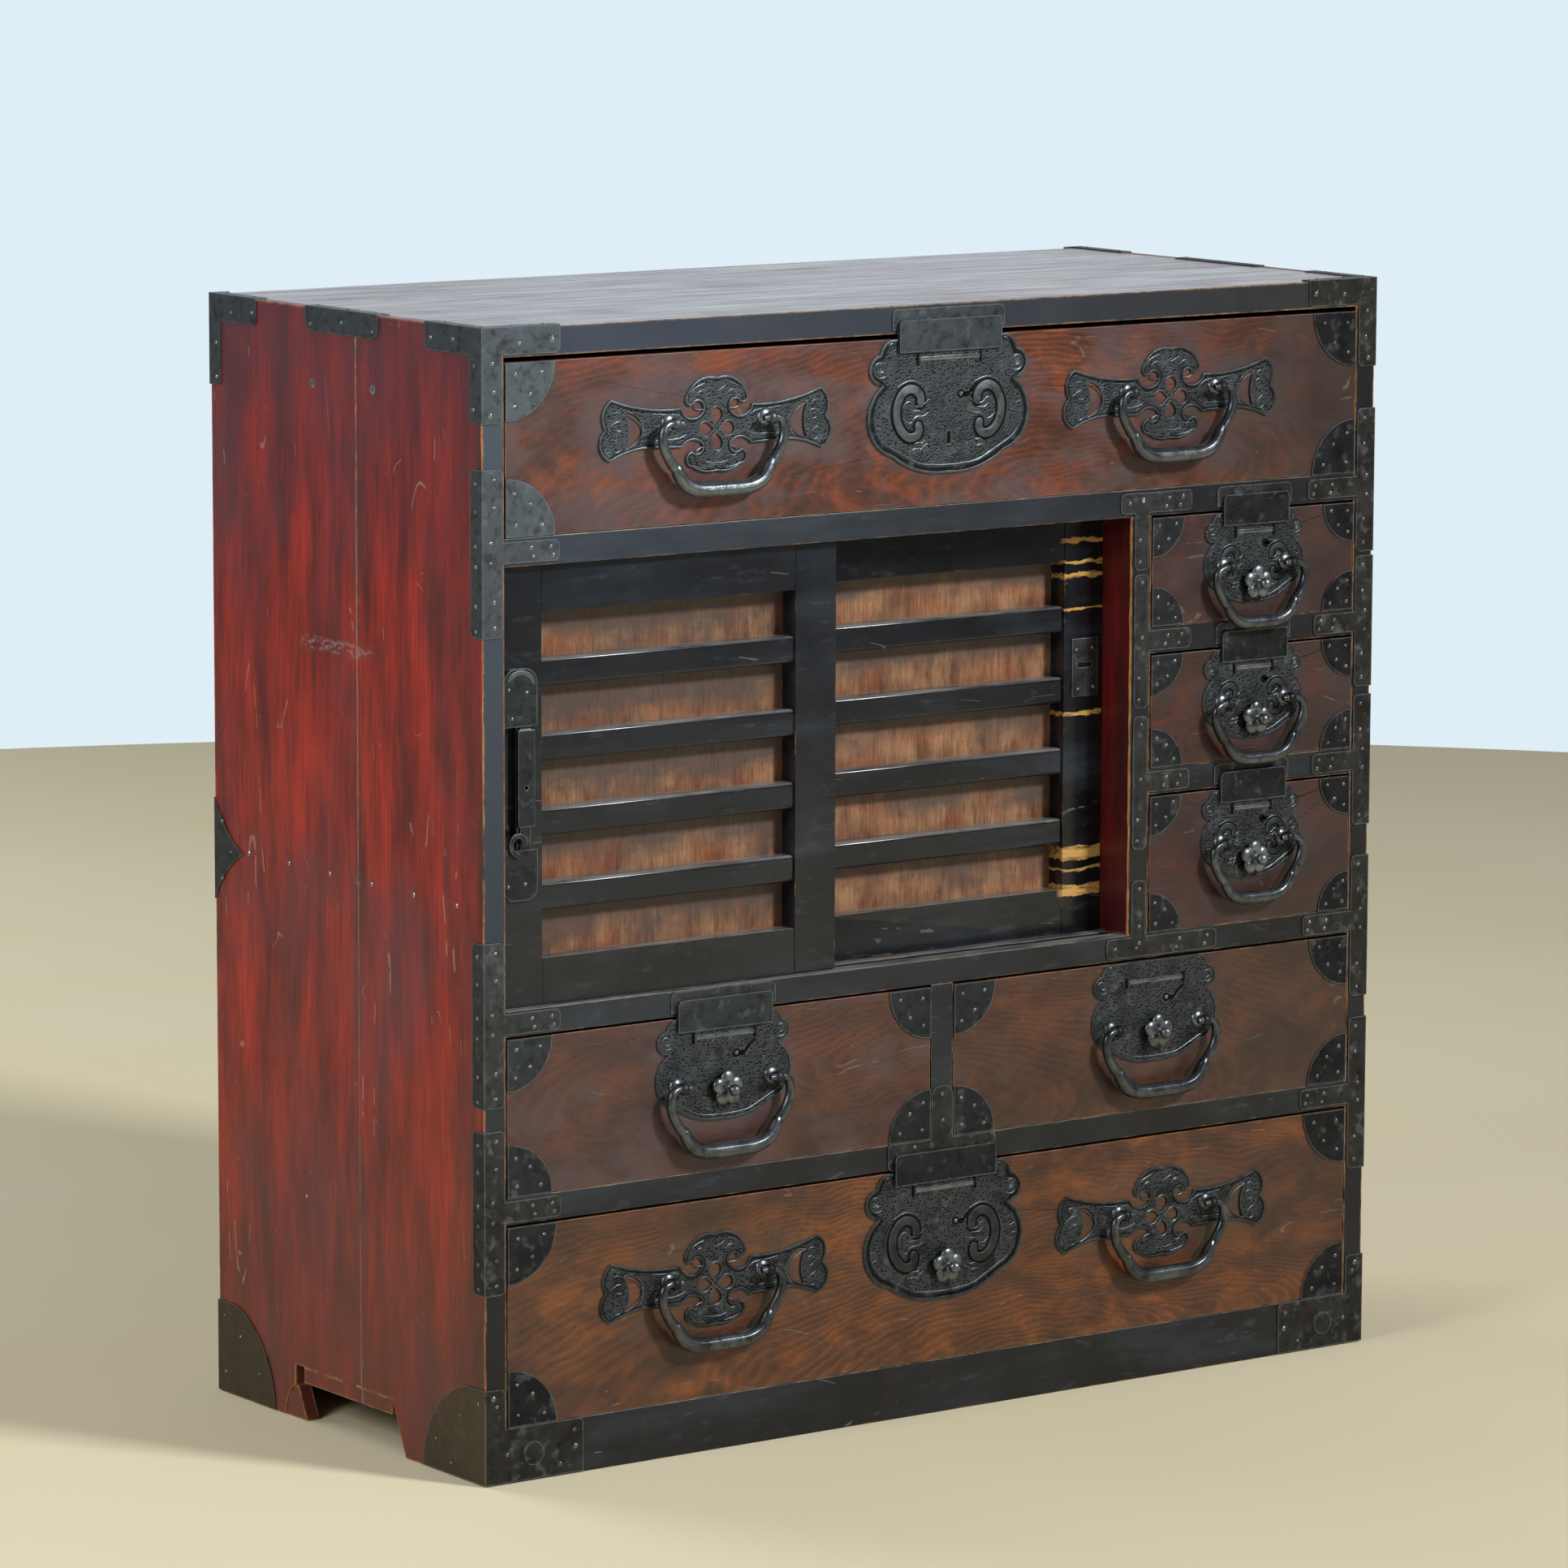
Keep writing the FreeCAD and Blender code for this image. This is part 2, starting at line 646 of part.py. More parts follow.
def top_back_bracket(side):
    """Wraps the top back corner: two legs on the side, a strip on the top and a leg behind."""
    level = HEIGHT - TOP_BRACKET_DROP
    foot = HEIGHT - TOP_BRACKET_LEG
    top = HEIGHT + STRAP
    start = DEPTH - TOP_BRACKET_BACK
    round_end = STRAP_ROUND
    wrap0, wrap1 = swapped(LEFT - STRAP, LEFT + BRACKET_WRAP, side)
    leg0, leg1 = swapped(LEFT - STRAP, LEFT + POST_STRAP, side)
    pieces = [
        side_plate(start, DEPTH, level, top, round_end, ("lb",), side),
        side_plate(DEPTH - SIDE_STRAP, DEPTH, foot, level, round_end, ("lb",), side),
        board(wrap0, wrap1, start, DEPTH, HEIGHT, top),
        board(leg0, leg1, DEPTH, DEPTH + STRAP, foot, top),
    ]
    return fused(pieces)


def foot_side_plate(corner, toward, reach, side):
    """A foot bracket's leg on a side, from a corner's depth one way, its free corner one wide arc."""
    across, up = FOOT_BRACKET_ARC_SHARE
    start = (corner, STRAP)
    steps = [
        ((corner, FOOT_BRACKET_TOP),),
        ((corner + toward * reach * FOOT_BRACKET_LEVEL_SHARE, FOOT_BRACKET_TOP),),
        ((corner + toward * reach * across, FOOT_BRACKET_TOP * up), (corner + toward * reach, STRAP)),
        (start,),
    ]
    return on_side(sheet(outline(start, steps), STRAP), side)


def foot_front_bracket(side):
    """Wraps the bottom front corner."""
    x0, x1 = swapped(LEFT - STRAP, LEFT + FOOT_BRACKET, side)
    leg0, leg1 = swapped(LEFT - STRAP, LEFT + POST_STRAP, side)
    boss_x = side * (WIDTH / 2 - FOOT_BOSS_IN)
    low = STRAP
    pieces = [
        front_plate(x0, x1, low, BASE_RAIL, STRAP_ROUND, outer_corner(side, "rt")),
        front_plate(leg0, leg1, BASE_RAIL, FOOT_BRACKET_TOP, STRAP_ROUND, outer_corner(side, "rt")),
        foot_side_plate(-STRAP, 1, FOOT_BRACKET, side),
        along_y(FOOT_BOSS, FOOT_BOSS_PROUD, boss_x, -FOOT_BOSS_PROUD - STRAP, BASE_RAIL / 2),
    ]
    return fused(pieces)


def foot_back_bracket(side):
    """Wraps the bottom back corner."""
    leg0, leg1 = swapped(LEFT - STRAP, LEFT + POST_STRAP, side)
    pieces = [
        foot_side_plate(DEPTH, -1, FOOT_BRACKET_BACK, side),
        board(leg0, leg1, DEPTH, DEPTH + STRAP, STRAP, FOOT_BRACKET_TOP),
    ]
    return fused(pieces)


def back_edge_plate(side):
    """The half diamond nailed over the back edge of a side."""
    half = BACK_PLATE_HEIGHT / 2
    width = BACK_PLATE_WIDTH
    tip = (DEPTH - width, BACK_PLATE_CENTRE)
    steps = [
        ((DEPTH - width / 2, BACK_PLATE_CENTRE + half / 3), (DEPTH, BACK_PLATE_CENTRE + half)),
        ((DEPTH, BACK_PLATE_CENTRE - half),),
        ((DEPTH - width / 2, BACK_PLATE_CENTRE - half / 3), tip),
    ]
    return on_side(sheet(outline(tip, steps), STRAP), side)


def make_corner_brackets():
    brackets = []
    for side in SIDES:
        brackets += [
            top_front_bracket(side),
            top_middle_bracket(side),
            top_back_bracket(side),
            foot_front_bracket(side),
            foot_back_bracket(side),
        ]
    return brackets


def post_strap(side, level, up, down, arm):
    """An edge strap at a rail: a leg up and down the post, round onto the side, and an arm."""
    leg0, leg1 = swapped(LEFT - STRAP, LEFT + POST_STRAP, side)
    arm0, arm1 = swapped(LEFT, LEFT + POST_STRAP + arm, side)
    round_end = STRAP_ROUND
    arm_half = STRAP_ARM_HEIGHT / 2
    corners = outer_corner(side, "rt", "rb")
    pieces = [
        front_plate(leg0, leg1, level - down, level + up, round_end, corners),
        side_plate(-STRAP, SIDE_STRAP, level - down, level + up, round_end, ("rt", "rb"), side),
        front_plate(arm0, arm1, level - arm_half, level + arm_half, round_end, corners),
    ]
    return fused(pieces)


def partition_strap(level, up, down, arm_left, arm_right):
    """A strap on the partition's front edge, with arms along the rail at its level."""
    middle = (PARTITION_LEFT + PARTITION_RIGHT) / 2
    half = PARTITION_STRAP / 2
    corners = ("lt", "lb", "rt", "rb")
    arm_half = STRAP_ARM_HEIGHT / 2
    arms = front_plate(
        middle - half - arm_left,
        middle + half + arm_right,
        level - arm_half,
        level + arm_half,
        STRAP_ROUND,
        corners,
    )
    leg = front_plate(middle - half, middle + half, level - down, level + up, STRAP_ROUND, corners)
    return fused([arms, leg])


def make_edge_straps():
    upper = (UPPER_RAIL_FOOT + TOP_FLOOR) / 2
    middle = (MIDDLE_RAIL_FOOT + SILL) / 2
    lower = (LOWER_RAIL_FOOT + HALF_FLOOR) / 2
    mid_small = MID_RAIL_FOOT + SMALL_RAIL / 2
    low_small = LOW_RAIL_FOOT + SMALL_RAIL / 2
    half_arm = STRAP_ARM_HEIGHT / 2
    reach = SMALL_STRAP_REACH
    far = STRAP_REACH
    straps = [post_strap(-1, level, far, far, STRAP_ARM) for level in (upper, middle, lower)]
    straps.append(post_strap(1, upper, far, reach, STRAP_ARM))
    straps += [post_strap(1, level, reach, reach, SMALL_ARM) for level in (mid_small, low_small)]
    straps.append(post_strap(1, middle, reach, far, STRAP_ARM))
    straps.append(post_strap(1, lower, far, far, STRAP_ARM))
    straps.append(partition_strap(upper, half_arm, reach, PARTITION_STRAP, SMALL_ARM))
    straps.append(partition_strap(mid_small, reach, reach, 0, SMALL_ARM))
    straps.append(partition_strap(low_small, reach, reach, 0, SMALL_ARM))
    straps.append(partition_strap(middle, reach, half_arm, LOCK_ARM_LEFT, LOCK_ARM_RIGHT))
    wing_left = (DIVIDER_LEFT + DIVIDER_RIGHT - DIVIDER_WING) / 2
    wing_right = wing_left + DIVIDER_WING
    corners = ("lt", "rt", "lb", "rb")
    wing = front_plate(wing_left, wing_right, LOWER_RAIL_FOOT, HALF_FLOOR, STRAP_ROUND, corners)
    leg_top = HALF_FLOOR + DIVIDER_STRAP
    leg = front_plate(DIVIDER_LEFT, DIVIDER_RIGHT, HALF_FLOOR, leg_top, half_arm, ("lt", "rt"))
    straps.append(fused([wing, leg]))
    straps += [back_edge_plate(side) for side in SIDES]
    return straps


def strike_plate(x, width, foot):
    """The strip on the rail above a lock, behind the lock's flap."""
    half = width / 2 + STRIKE_MARGIN
    top = foot + FLAP_ABOVE + STRIKE_MARGIN
    return front_plate(x - half, x + half, top - STRIKE_HEIGHT, top, STRIKE_MARGIN, ("lt", "rt"))


def nails_on_sides():
    """Round heads along the shelf on both sides of the carcase."""
    heads = []
    level = SILL + SHELF_ABOVE_SILL + SHELF / 2
    span = DEPTH - BACK_PLATE_WIDTH - SHELF_NAIL_MARGIN - NAIL_INSET
    for index in range(SHELF_NAILS):
        deep = SHELF_NAIL_MARGIN + span * index / (SHELF_NAILS - 1)
        head = dome(NAIL, NAIL_PROUD, deep, 0, level)
        head.translate(FreeCAD.Vector(0, -FRONT_Y, 0))
        heads += [on_side(head, side) for side in SIDES]
    return heads


def nails_on_brackets():
    """Round heads at the ends of the top and foot brackets."""
    heads = []
    for side in SIDES:
        for reach, level in (
            (TOP_BRACKET_FRONT - NAIL_INSET, HEIGHT - TOP_BRACKET_DROP / 2),
            (FOOT_BRACKET - NAIL_INSET, BASE_RAIL / 2),
            (NAIL_INSET, HEIGHT - TOP_BRACKET_LEG + NAIL_INSET),
            (NAIL_INSET, FOOT_BRACKET_TOP - NAIL_INSET),
        ):
            heads.append(dome(NAIL, NAIL_PROUD, side * (WIDTH / 2 - reach), -STRAP, level))
    return heads


# Drawers


class Drawer:
    """The opening that a drawer fills, its lock and its handles."""

    def __init__(self, name, across, levels, lock, corner):
        self.name = name
        self.x0 = across[0] + DRAWER_GAP
        self.x1 = across[1] - DRAWER_GAP
        self.middle = (across[0] + across[1]) / 2
        self.floor = levels[0]
        self.rail_foot = levels[1]
        self.z0 = self.floor + RUN_GAP
        self.z1 = self.rail_foot - TOP_GAP
        self.lock = lock
        self.corner = corner
        self.knob_z = self.z1 - KNOB_DROP
        self.key_z = self.z1 - KEY_DROP
        self.bails = []
        self.handle_plates = False
        self.knob_lost = False
        self.flap_lost = False
        self.straight_key = False
        self.has_strike = True

    def spindle_place(self):
        """Where the knob's spindle passes the front, or where its slot stands empty."""
        return self.middle, self.knob_z


def lock_plate(drawer):
    """The plate on the drawer's front, pierced for the key and the spindle."""
    width, height, flap_width, slot_width = drawer.lock
    steps = scaled_steps(LOCK_OUTLINE_SHARES, width / 2, height) + [((0, height),)]
    plate = placed(mirrored_plate((0, 0), steps, LOCK_PLATE), drawer.middle, 0, drawer.z1 - height)
    for hole in [keyhole(drawer), spindle_hole(drawer)] + post_holes(drawer):
        plate = plate.cut(hole)
    return plate


def keyhole(drawer):
    """The round hole for a pipe key, with a tail that is straight or turns up, through plate and front."""
    x = drawer.middle + KEYHOLE_RIGHT
    z = drawer.key_z
    start = -LOCK_PLATE - OVERRUN
    end = DRAWER_FRONT + OVERRUN
    hole = along_y(KEYHOLE, end - start, x, start, z)
    half = KEYHOLE_TAIL_WIDTH / 2
    if drawer.straight_key:
        return fused([hole, board(x, x + KEYHOLE_TAIL, start, end, z - half, z + half)])
    bend = x + KEYHOLE_BEND
    tail = board(x, bend + half, start, end, z - half, z + half)
    rise = board(bend - half, bend + KEYHOLE_TAIL_END, start, end, z - half, z + half)
    rise.rotate(FreeCAD.Vector(bend, 0, z), FreeCAD.Vector(0, 1, 0), -KEYHOLE_TAIL_TURN)
    return fused([hole, tail, rise])


def spindle_hole(drawer):
    """A running hole for the spindle, or the bare rectangular slot of a lost knob."""
    x, z = drawer.spindle_place()
    if drawer.knob_lost:
        half = SPINDLE_SLOT_WIDTH / 2
        tall = SPINDLE_SLOT_HEIGHT / 2
        return board(x - half, x + half, -LOCK_PLATE - OVERRUN, OVERRUN, z - tall, z + tall)
    return along_y(SPINDLE + SPINDLE_FIT, LOCK_PLATE + 2 * OVERRUN, x, -LOCK_PLATE - OVERRUN, z)


def flap(drawer):
    """The thick leaf at the top of the lock, which covers the gap to the rail above."""
    half = drawer.lock[2] / 2
    leaf = rounded(-half, half, -FLAP_BELOW, FLAP_ABOVE, FLAP_ROUND, ("lt", "rt"), FLAP)
    return placed(leaf, drawer.middle, -LOCK_PLATE, drawer.z1)


def slot_bar(drawer):
    """The bar that lies in the slot under the flap."""
    half = drawer.lock[3] / 2
    top = drawer.z1 - SLOT_BELOW_TOP + SLOT_BAR / 2
    return board(
        drawer.middle - half,
        drawer.middle + half,
        -LOCK_PLATE - SLOT_BAR_PROUD,
        -LOCK_PLATE,
        top - SLOT_BAR,
        top,
    )


def lock_case(drawer):
    """The iron case behind the front, open towards it, the bolt drawn down inside and the key's pin."""
    wall = LOCK_CASE_WALL
    left = drawer.middle - LOCK_CASE_WIDTH / 2
    right = left + LOCK_CASE_WIDTH
    top = drawer.z1 - LOCK_CASE_DROP
    foot = drawer.knob_z - LOCK_CASE_BELOW
    back = DRAWER_FRONT + LOCK_CASE_DEPTH
    outer = board(left, right, DRAWER_FRONT, back, foot, top)
    start = DRAWER_FRONT - OVERRUN
    inner = board(left + wall, right - wall, start, back - wall, foot + wall, top - wall)
    bolt_left = drawer.middle - LOCK_BOLT / 2
    bolt_foot = drawer.knob_z + LOCK_CAM + LOCK_BOLT_CLEARANCE
    bolt_front = DRAWER_FRONT + wall
    bolt = board(bolt_left, bolt_left + LOCK_BOLT, bolt_front, back - wall, bolt_foot, top - wall)
    pin_length = LOCK_PLATE + back - wall
    pin = along_y(KEYHOLE_PIN, pin_length, drawer.middle + KEYHOLE_RIGHT, -LOCK_PLATE, drawer.key_z)
    return [outer.cut(inner), bolt, pin]


def corner_plates(drawer):
    """Quarter-round plates on the four corners of the front."""
    radius = drawer.corner
    plates = []
    diagonal = radius * math.sqrt(2) / 2
    for x, toward in ((drawer.x0, 1), (drawer.x1, -1)):
        for z, up in ((drawer.z0, 1), (drawer.z1, -1)):
            steps = [
                ((x + toward * radius, z),),
                ((x + toward * diagonal, z + up * diagonal), (x, z + up * radius)),
                ((x, z),),
            ]
            plates.append(placed(sheet(outline((x, z), steps), STRAP), 0, 0, 0))
    return plates


def petal_hole(turn):
    """A petal cut through a handle plate: a round end far out and a point near the flower's middle."""
    lean = math.asin(HANDLE_PETAL / (HANDLE_PETAL_RING - HANDLE_PETAL_TIP))
    across = HANDLE_PETAL * math.cos(lean)
    near = HANDLE_PETAL_RING - HANDLE_PETAL * math.sin(lean)
    tip = (HANDLE_PETAL_TIP, 0)
    far = (HANDLE_PETAL_RING + HANDLE_PETAL, 0)
    steps = [((near, across),), (far, (near, -across)), (tip,)]
    hole = sheet(outline(tip, steps), LOCK_PLATE + 2 * OVERRUN)
    hole.rotate(FreeCAD.Vector(0, 0, 0), FreeCAD.Vector(0, 1, 0), turn)
    hole.translate(FreeCAD.Vector(0, OVERRUN, -HANDLE_FLOWER_DROP))
    return hole


def handle_plate(x, z):
    """A pierced butterfly plate: a flower in the middle and a crescent in each wing."""
    steps = scaled_steps(HANDLE_OUTLINE_SHARES, HANDLE_WING, HANDLE_HALF_HEIGHT)
    plate = mirrored_plate((0, HANDLE_HALF_HEIGHT), steps, LOCK_PLATE)
    for index in range(HANDLE_PETALS):
        plate = plate.cut(petal_hole(360 * index / HANDLE_PETALS))
    for side in SIDES:
        points = [
            (side * share[0] * HANDLE_WING, share[1] * HANDLE_HALF_HEIGHT)
            for share in (CRESCENT_TOP_SHARE, CRESCENT_BACK_SHARE, CRESCENT_FOOT_SHARE, CRESCENT_BELLY_SHARE)
        ]
        steps = [(points[1], points[2]), (points[3], points[0])]
        hole = sheet(outline(points[0], steps), LOCK_PLATE + 2 * OVERRUN)
        hole.translate(FreeCAD.Vector(0, OVERRUN, 0))
        plate = plate.cut(hole)
    return placed(plate, x, 0, z)


def post(x, z):
    """An eye stud: a domed collar, a stem through the front and a pierced ball."""
    eye = POST_PROUD + LOCK_PLATE
    ball = Part.makeSphere(POST_BALL, FreeCAD.Vector(x, FRONT_Y - eye, z))
    stem = along_y(POST_STEM, eye + DRAWER_FRONT + POST_PAST_FRONT, x, -eye, z)
    collar = dome(POST_DOME, POST_DOME_HEIGHT, x, -LOCK_PLATE, z)
    whole = fused([ball, stem, collar])
    return whole.cut(along_x(BAIL_END + BAIL_FIT, x - 2 * POST_BALL, x + 2 * POST_BALL, -eye, z))


def post_places(drawer):
    places = []
    for x, z, size in drawer.bails:
        places += [(x - size[0], z), (x + size[0], z)]
    return places


def post_holes(drawer):
    """Bores for the posts' stems, through plate and front."""
    radius = POST_STEM + POST_BORE_CLEARANCE
    start = -LOCK_PLATE - OVERRUN
    length = DRAWER_FRONT + OVERRUN - start
    return [along_y(radius, length, x, start, z) for x, z in post_places(drawer)]


def drawer_front(drawer):
    """The front board with its bores for posts and spindle and the key's hole."""
    front = board(drawer.x0, drawer.x1, 0, DRAWER_FRONT, drawer.z0, drawer.z1)
    x, z = drawer.spindle_place()
    bore = along_y(SPINDLE + SPINDLE_BORE_CLEARANCE, DRAWER_FRONT + 2 * OVERRUN, x, -OVERRUN, z)
    for hole in [bore, keyhole(drawer)] + post_holes(drawer):
        front = front.cut(hole)
    return front


def drawer_box(drawer):
    """Two sides and a back that stand on a bottom board."""
    back = BACK_FACE - DRAWER_BACK_GAP
    top = drawer.z1 - DRAWER_SIDE_DROP
    bottom_top = drawer.z0 + DRAWER_BOTTOM
    side = DRAWER_SIDE
    return [
        board(drawer.x0, drawer.x1, DRAWER_FRONT, back, drawer.z0, bottom_top),
        board(drawer.x0, drawer.x0 + side, DRAWER_FRONT, back, bottom_top, top),
        board(drawer.x1 - side, drawer.x1, DRAWER_FRONT, back, bottom_top, top),
        board(drawer.x0 + side, drawer.x1 - side, back - side, back, bottom_top, top),
    ]


def drawer_iron(drawer):
    pieces = [lock_plate(drawer), slot_bar(drawer)]
    if not drawer.flap_lost:
        pieces.append(flap(drawer))
    pieces += lock_case(drawer)
    pieces += corner_plates(drawer)
    if drawer.handle_plates:
        for x, z, size in drawer.bails:
            plate = handle_plate(x, z - HANDLE_POST_RISE)
            for hole in post_holes(drawer):
                plate = plate.cut(hole)
            pieces.append(plate)
    pieces += [post(x, z) for x, z in post_places(drawer)]
    return pieces


# Bails and knobs


def ring_at(centre, tangent, radius):
    return Part.Wire(Part.Circle(centre, tangent, radius).toShape())


def bail_points(size, body):
    """Centre line and radius of a bail, from its left pin down, across and up to its right pin."""
    half_posts, half_width, drop, foot = size
    inner = half_posts - POST_BALL - BAIL_PIN_PAST
    outer = half_posts + POST_BALL
    left = [(-inner, 0, BAIL_END), (-outer, 0, BAIL_END)]
    # A quarter of an ellipse turns the bail from its pin to its widest place
    for angle in BAIL_BEND_ANGLES:
        turn = math.radians(angle)
        x = outer + (half_width - outer) * math.sin(turn)
        z = -BAIL_WIDEST_SHARE * drop * (1 - math.cos(turn))
        left.append((-x, z, BAIL_END + (BAIL_NECK - BAIL_END) * math.sin(turn)))
    for (across, down), share in zip(BAIL_LINE_SHARES, BAIL_THICKNESS_SHARES):
        x = foot + across * (half_width - foot)
        left.append((-x, -down * drop, BAIL_NECK + share * (body - BAIL_NECK)))
    right = [(-x, z, radius) for x, z, radius in reversed(left)]
    return left + right


def make_bail(x, z, size, body):
    points = bail_points(size, body)
    y = FRONT_Y - POST_PROUD - LOCK_PLATE
    centres = [FreeCAD.Vector(x + px, y, z + pz) for px, pz, radius in points]
    rings = []
    for index, (px, pz, radius) in enumerate(points):
        before = centres[max(index - 1, 0)]
        after = centres[min(index + 1, len(centres) - 1)]
        rings.append(ring_at(centres[index], after.sub(before), radius))
    return Part.makeLoft(rings, True, True)


def make_knob(drawer):
    """Round petals on a disc, a ball pin in the middle, and behind a spindle with its cam."""
    x, z = drawer.spindle_place()
    near = LOCK_PLATE + ROSETTE_OFF
    front = near + ROSETTE_PLATE
    ring = ROSETTE * (1 - PETAL_SHARE)
    pieces = [along_y(ring, ROSETTE_PLATE, x, -front, z)]
    for index in range(ROSETTE_PETALS):
        angle = math.radians(90 + 360 * index / ROSETTE_PETALS)
        petal_x = x + ring * math.cos(angle)
        petal_z = z + ring * math.sin(angle)
        pieces.append(along_y(ROSETTE * PETAL_SHARE, ROSETTE_PLATE, petal_x, -front, petal_z))
    pin_centre = FreeCAD.Vector(x, FRONT_Y - front - ROSETTE_PIN_REACH + ROSETTE_PIN, z)
    pieces.append(Part.makeSphere(ROSETTE_PIN, pin_centre))
    pin_stem = ROSETTE_PIN_REACH - ROSETTE_PIN
    pieces.append(along_y(ROSETTE_PIN * PETAL_SHARE, pin_stem + ROSETTE_PLATE / 2, x, -front - pin_stem, z))
    pieces.append(along_y(ROSETTE_COLLAR, ROSETTE_OFF - SPINDLE_FIT, x, -near, z))
    length = near + DRAWER_FRONT + SPINDLE_PAST_FRONT
    pieces.append(along_y(SPINDLE, length, x, -near, z))
    cam_start = DRAWER_FRONT + SPINDLE_PAST_FRONT - LOCK_CAM_THICK
    pieces.append(along_y(LOCK_CAM, LOCK_CAM_THICK, x, cam_start, z))
    return fused(pieces)


# Doors


def door_width():
    return (PARTITION_LEFT - INNER_LEFT + DOOR_OVERLAP) / 2 - DOOR_END_GAP


def door_frame(x0, recess):
    """Stiles and rails of a door, with the tongues that run in the grooves."""
    x1 = x0 + door_width()
    z0 = SILL + RUN_GAP
    z1 = UPPER_RAIL_FOOT - DOOR_TOP_GAP
    back = recess + DOOR
    middle = recess + DOOR / 2
    half = TONGUE / 2
    pieces = []
    for left, right in ((x0, x0 + STILE), (x1 - STILE, x1)):
        pieces.append(board(left, right, recess, back, z0, z1))
    lower = board(x0 + STILE, x1 - STILE, recess, back, z0, z0 + DOOR_RAIL)
    upper = board(x0 + STILE, x1 - STILE, recess, back, z1 - DOOR_RAIL, z1)
    foot = SILL - LOWER_TONGUE
    head = UPPER_RAIL_FOOT + UPPER_TONGUE
    low_tongue = board(x0 + STILE, x1 - STILE, middle - half, middle + half, foot, z0)
    top_tongue = board(x0 + STILE, x1 - STILE, middle - half, middle + half, z1, head)
    pieces.append(fused([lower, low_tongue]))
    pieces.append(fused([upper, top_tongue]))
    panel = door_panel(x0, recess)
    return [piece.cut(panel) for piece in pieces]


def door_panel(x0, recess):
    """The thin board housed all round in the frame."""
    x1 = x0 + door_width()
    grip = PANEL_HOUSING
    front = recess + PANEL_RECESS
    z0 = SILL + RUN_GAP + DOOR_RAIL - grip
    z1 = UPPER_RAIL_FOOT - DOOR_TOP_GAP - DOOR_RAIL + grip
    return board(x0 + STILE - grip, x1 - STILE + grip, front, front + PANEL, z0, z1)


def door_bars(x0, recess):
    """Bars across the panel, with rounded front edges."""
    x1 = x0 + door_width()
    z0 = SILL + RUN_GAP + DOOR_RAIL
    z1 = UPPER_RAIL_FOOT - DOOR_TOP_GAP - DOOR_RAIL
    bay = (z1 - z0 - BARS * BAR) / (BARS + 1)
    bars = []
    for index in range(BARS):
        foot = z0 + bay + index * (bay + BAR)
        front = recess + BAR_RECESS
        bar = board(x0 + STILE, x1 - STILE, front, recess + PANEL_RECESS, foot, foot + BAR)
        long_edges = [
            edge
            for edge in bar.Edges
            if edge.BoundBox.XLength > STILE and edge.BoundBox.YMax < FRONT_Y + front + RUN_GAP
        ]
        bars.append(bar.makeFillet(BAR_ROUND, long_edges))
    return bars


def latch_levels():
    """Foot and top of the latch's lower plate, opening and upper plate."""
    low = SILL + LATCH_BOTTOM
    mouth = low + LATCH_LOWER
    head = mouth + LATCH_SPAN
    return low, mouth, head, head + LATCH_UPPER


def latch_bar_span(x0):
    right = x0 + LATCH_LEFT + LATCH_WIDTH - LATCH_PLATE / 2
    return right - LATCH_BAR, right


def make_latch_plates(x0):
    """Two hollow plates on the stile, which guide the tongues and the head of the sliding bar."""
    left = x0 + LATCH_LEFT
    right = left + LATCH_WIDTH
    low, mouth, head, top = latch_levels()
    bar0, bar1 = latch_bar_span(x0)
    gap = LATCH_CLEARANCE
    space = DOOR_RECESS - LATCH_BAR_THICK - gap
    head_end = head + LATCH_TONGUE_TUCK + LATCH_TRAVEL + gap
    head_channel = board(bar0 - gap, bar1 + gap, space, DOOR_RECESS, head - gap, head_end)
    tongue0 = (bar0 + bar1 - LATCH_TONGUE) / 2
    thin = DOOR_RECESS - LATCH_TONGUE_THICK - gap
    foot_channel = board(
        tongue0 - gap,
        tongue0 + LATCH_TONGUE + gap,
        thin - gap,
        DOOR_RECESS,
        mouth - LATCH_TONGUE_TUCK - gap,
        mouth + gap,
    )
    upper = rounded(left, right, head, top, LATCH_UPPER / 4, ("lt", "rt"), LATCH_PLATE + gap)
    lower = rounded(left, right, low, mouth, LATCH_LOWER / 4, ("lb", "rb"), LATCH_PLATE + gap)
    return [
        placed(upper, 0, DOOR_RECESS, 0).cut(head_channel),
        placed(lower, 0, DOOR_RECESS, 0).cut(foot_channel),
    ]


def latch_pocket(x0):
    """The hollow in the stile beside the sliding bar."""
    levels = latch_levels()
    right = latch_bar_span(x0)[0] - LATCH_CLEARANCE
    back = DOOR_RECESS + LATCH_POCKET
    return board(x0 + LATCH_LEFT, right, DOOR_RECESS - OVERRUN, back, levels[1], levels[2])


def make_latch_bar(x0):
    """A thick bar on a thin tongue whose ends stay in the plates."""
    levels = latch_levels()
    mouth, head = levels[1], levels[2]
    bar0, bar1 = latch_bar_span(x0)
    back = DOOR_RECESS - LATCH_CLEARANCE / 2
    front = back - LATCH_BAR_THICK
    bar = board(bar0, bar1, front, back, mouth + LATCH_BAR_FOOT, head - LATCH_BAR_HEAD)
    middle = (bar0 + bar1) / 2
    half = LATCH_TONGUE / 2
    foot = mouth - LATCH_TONGUE_TUCK
    top = head + LATCH_TONGUE_TUCK
    tongue = board(middle - half, middle + half, back - LATCH_TONGUE_THICK, back, foot, top)
    hole = along_y(LATCH_BAR_HOLE, LATCH_BAR_THICK + 2 * OVERRUN, middle, front - OVERRUN, (mouth + head) / 2)
    return fused([bar, tongue]).cut(hole)


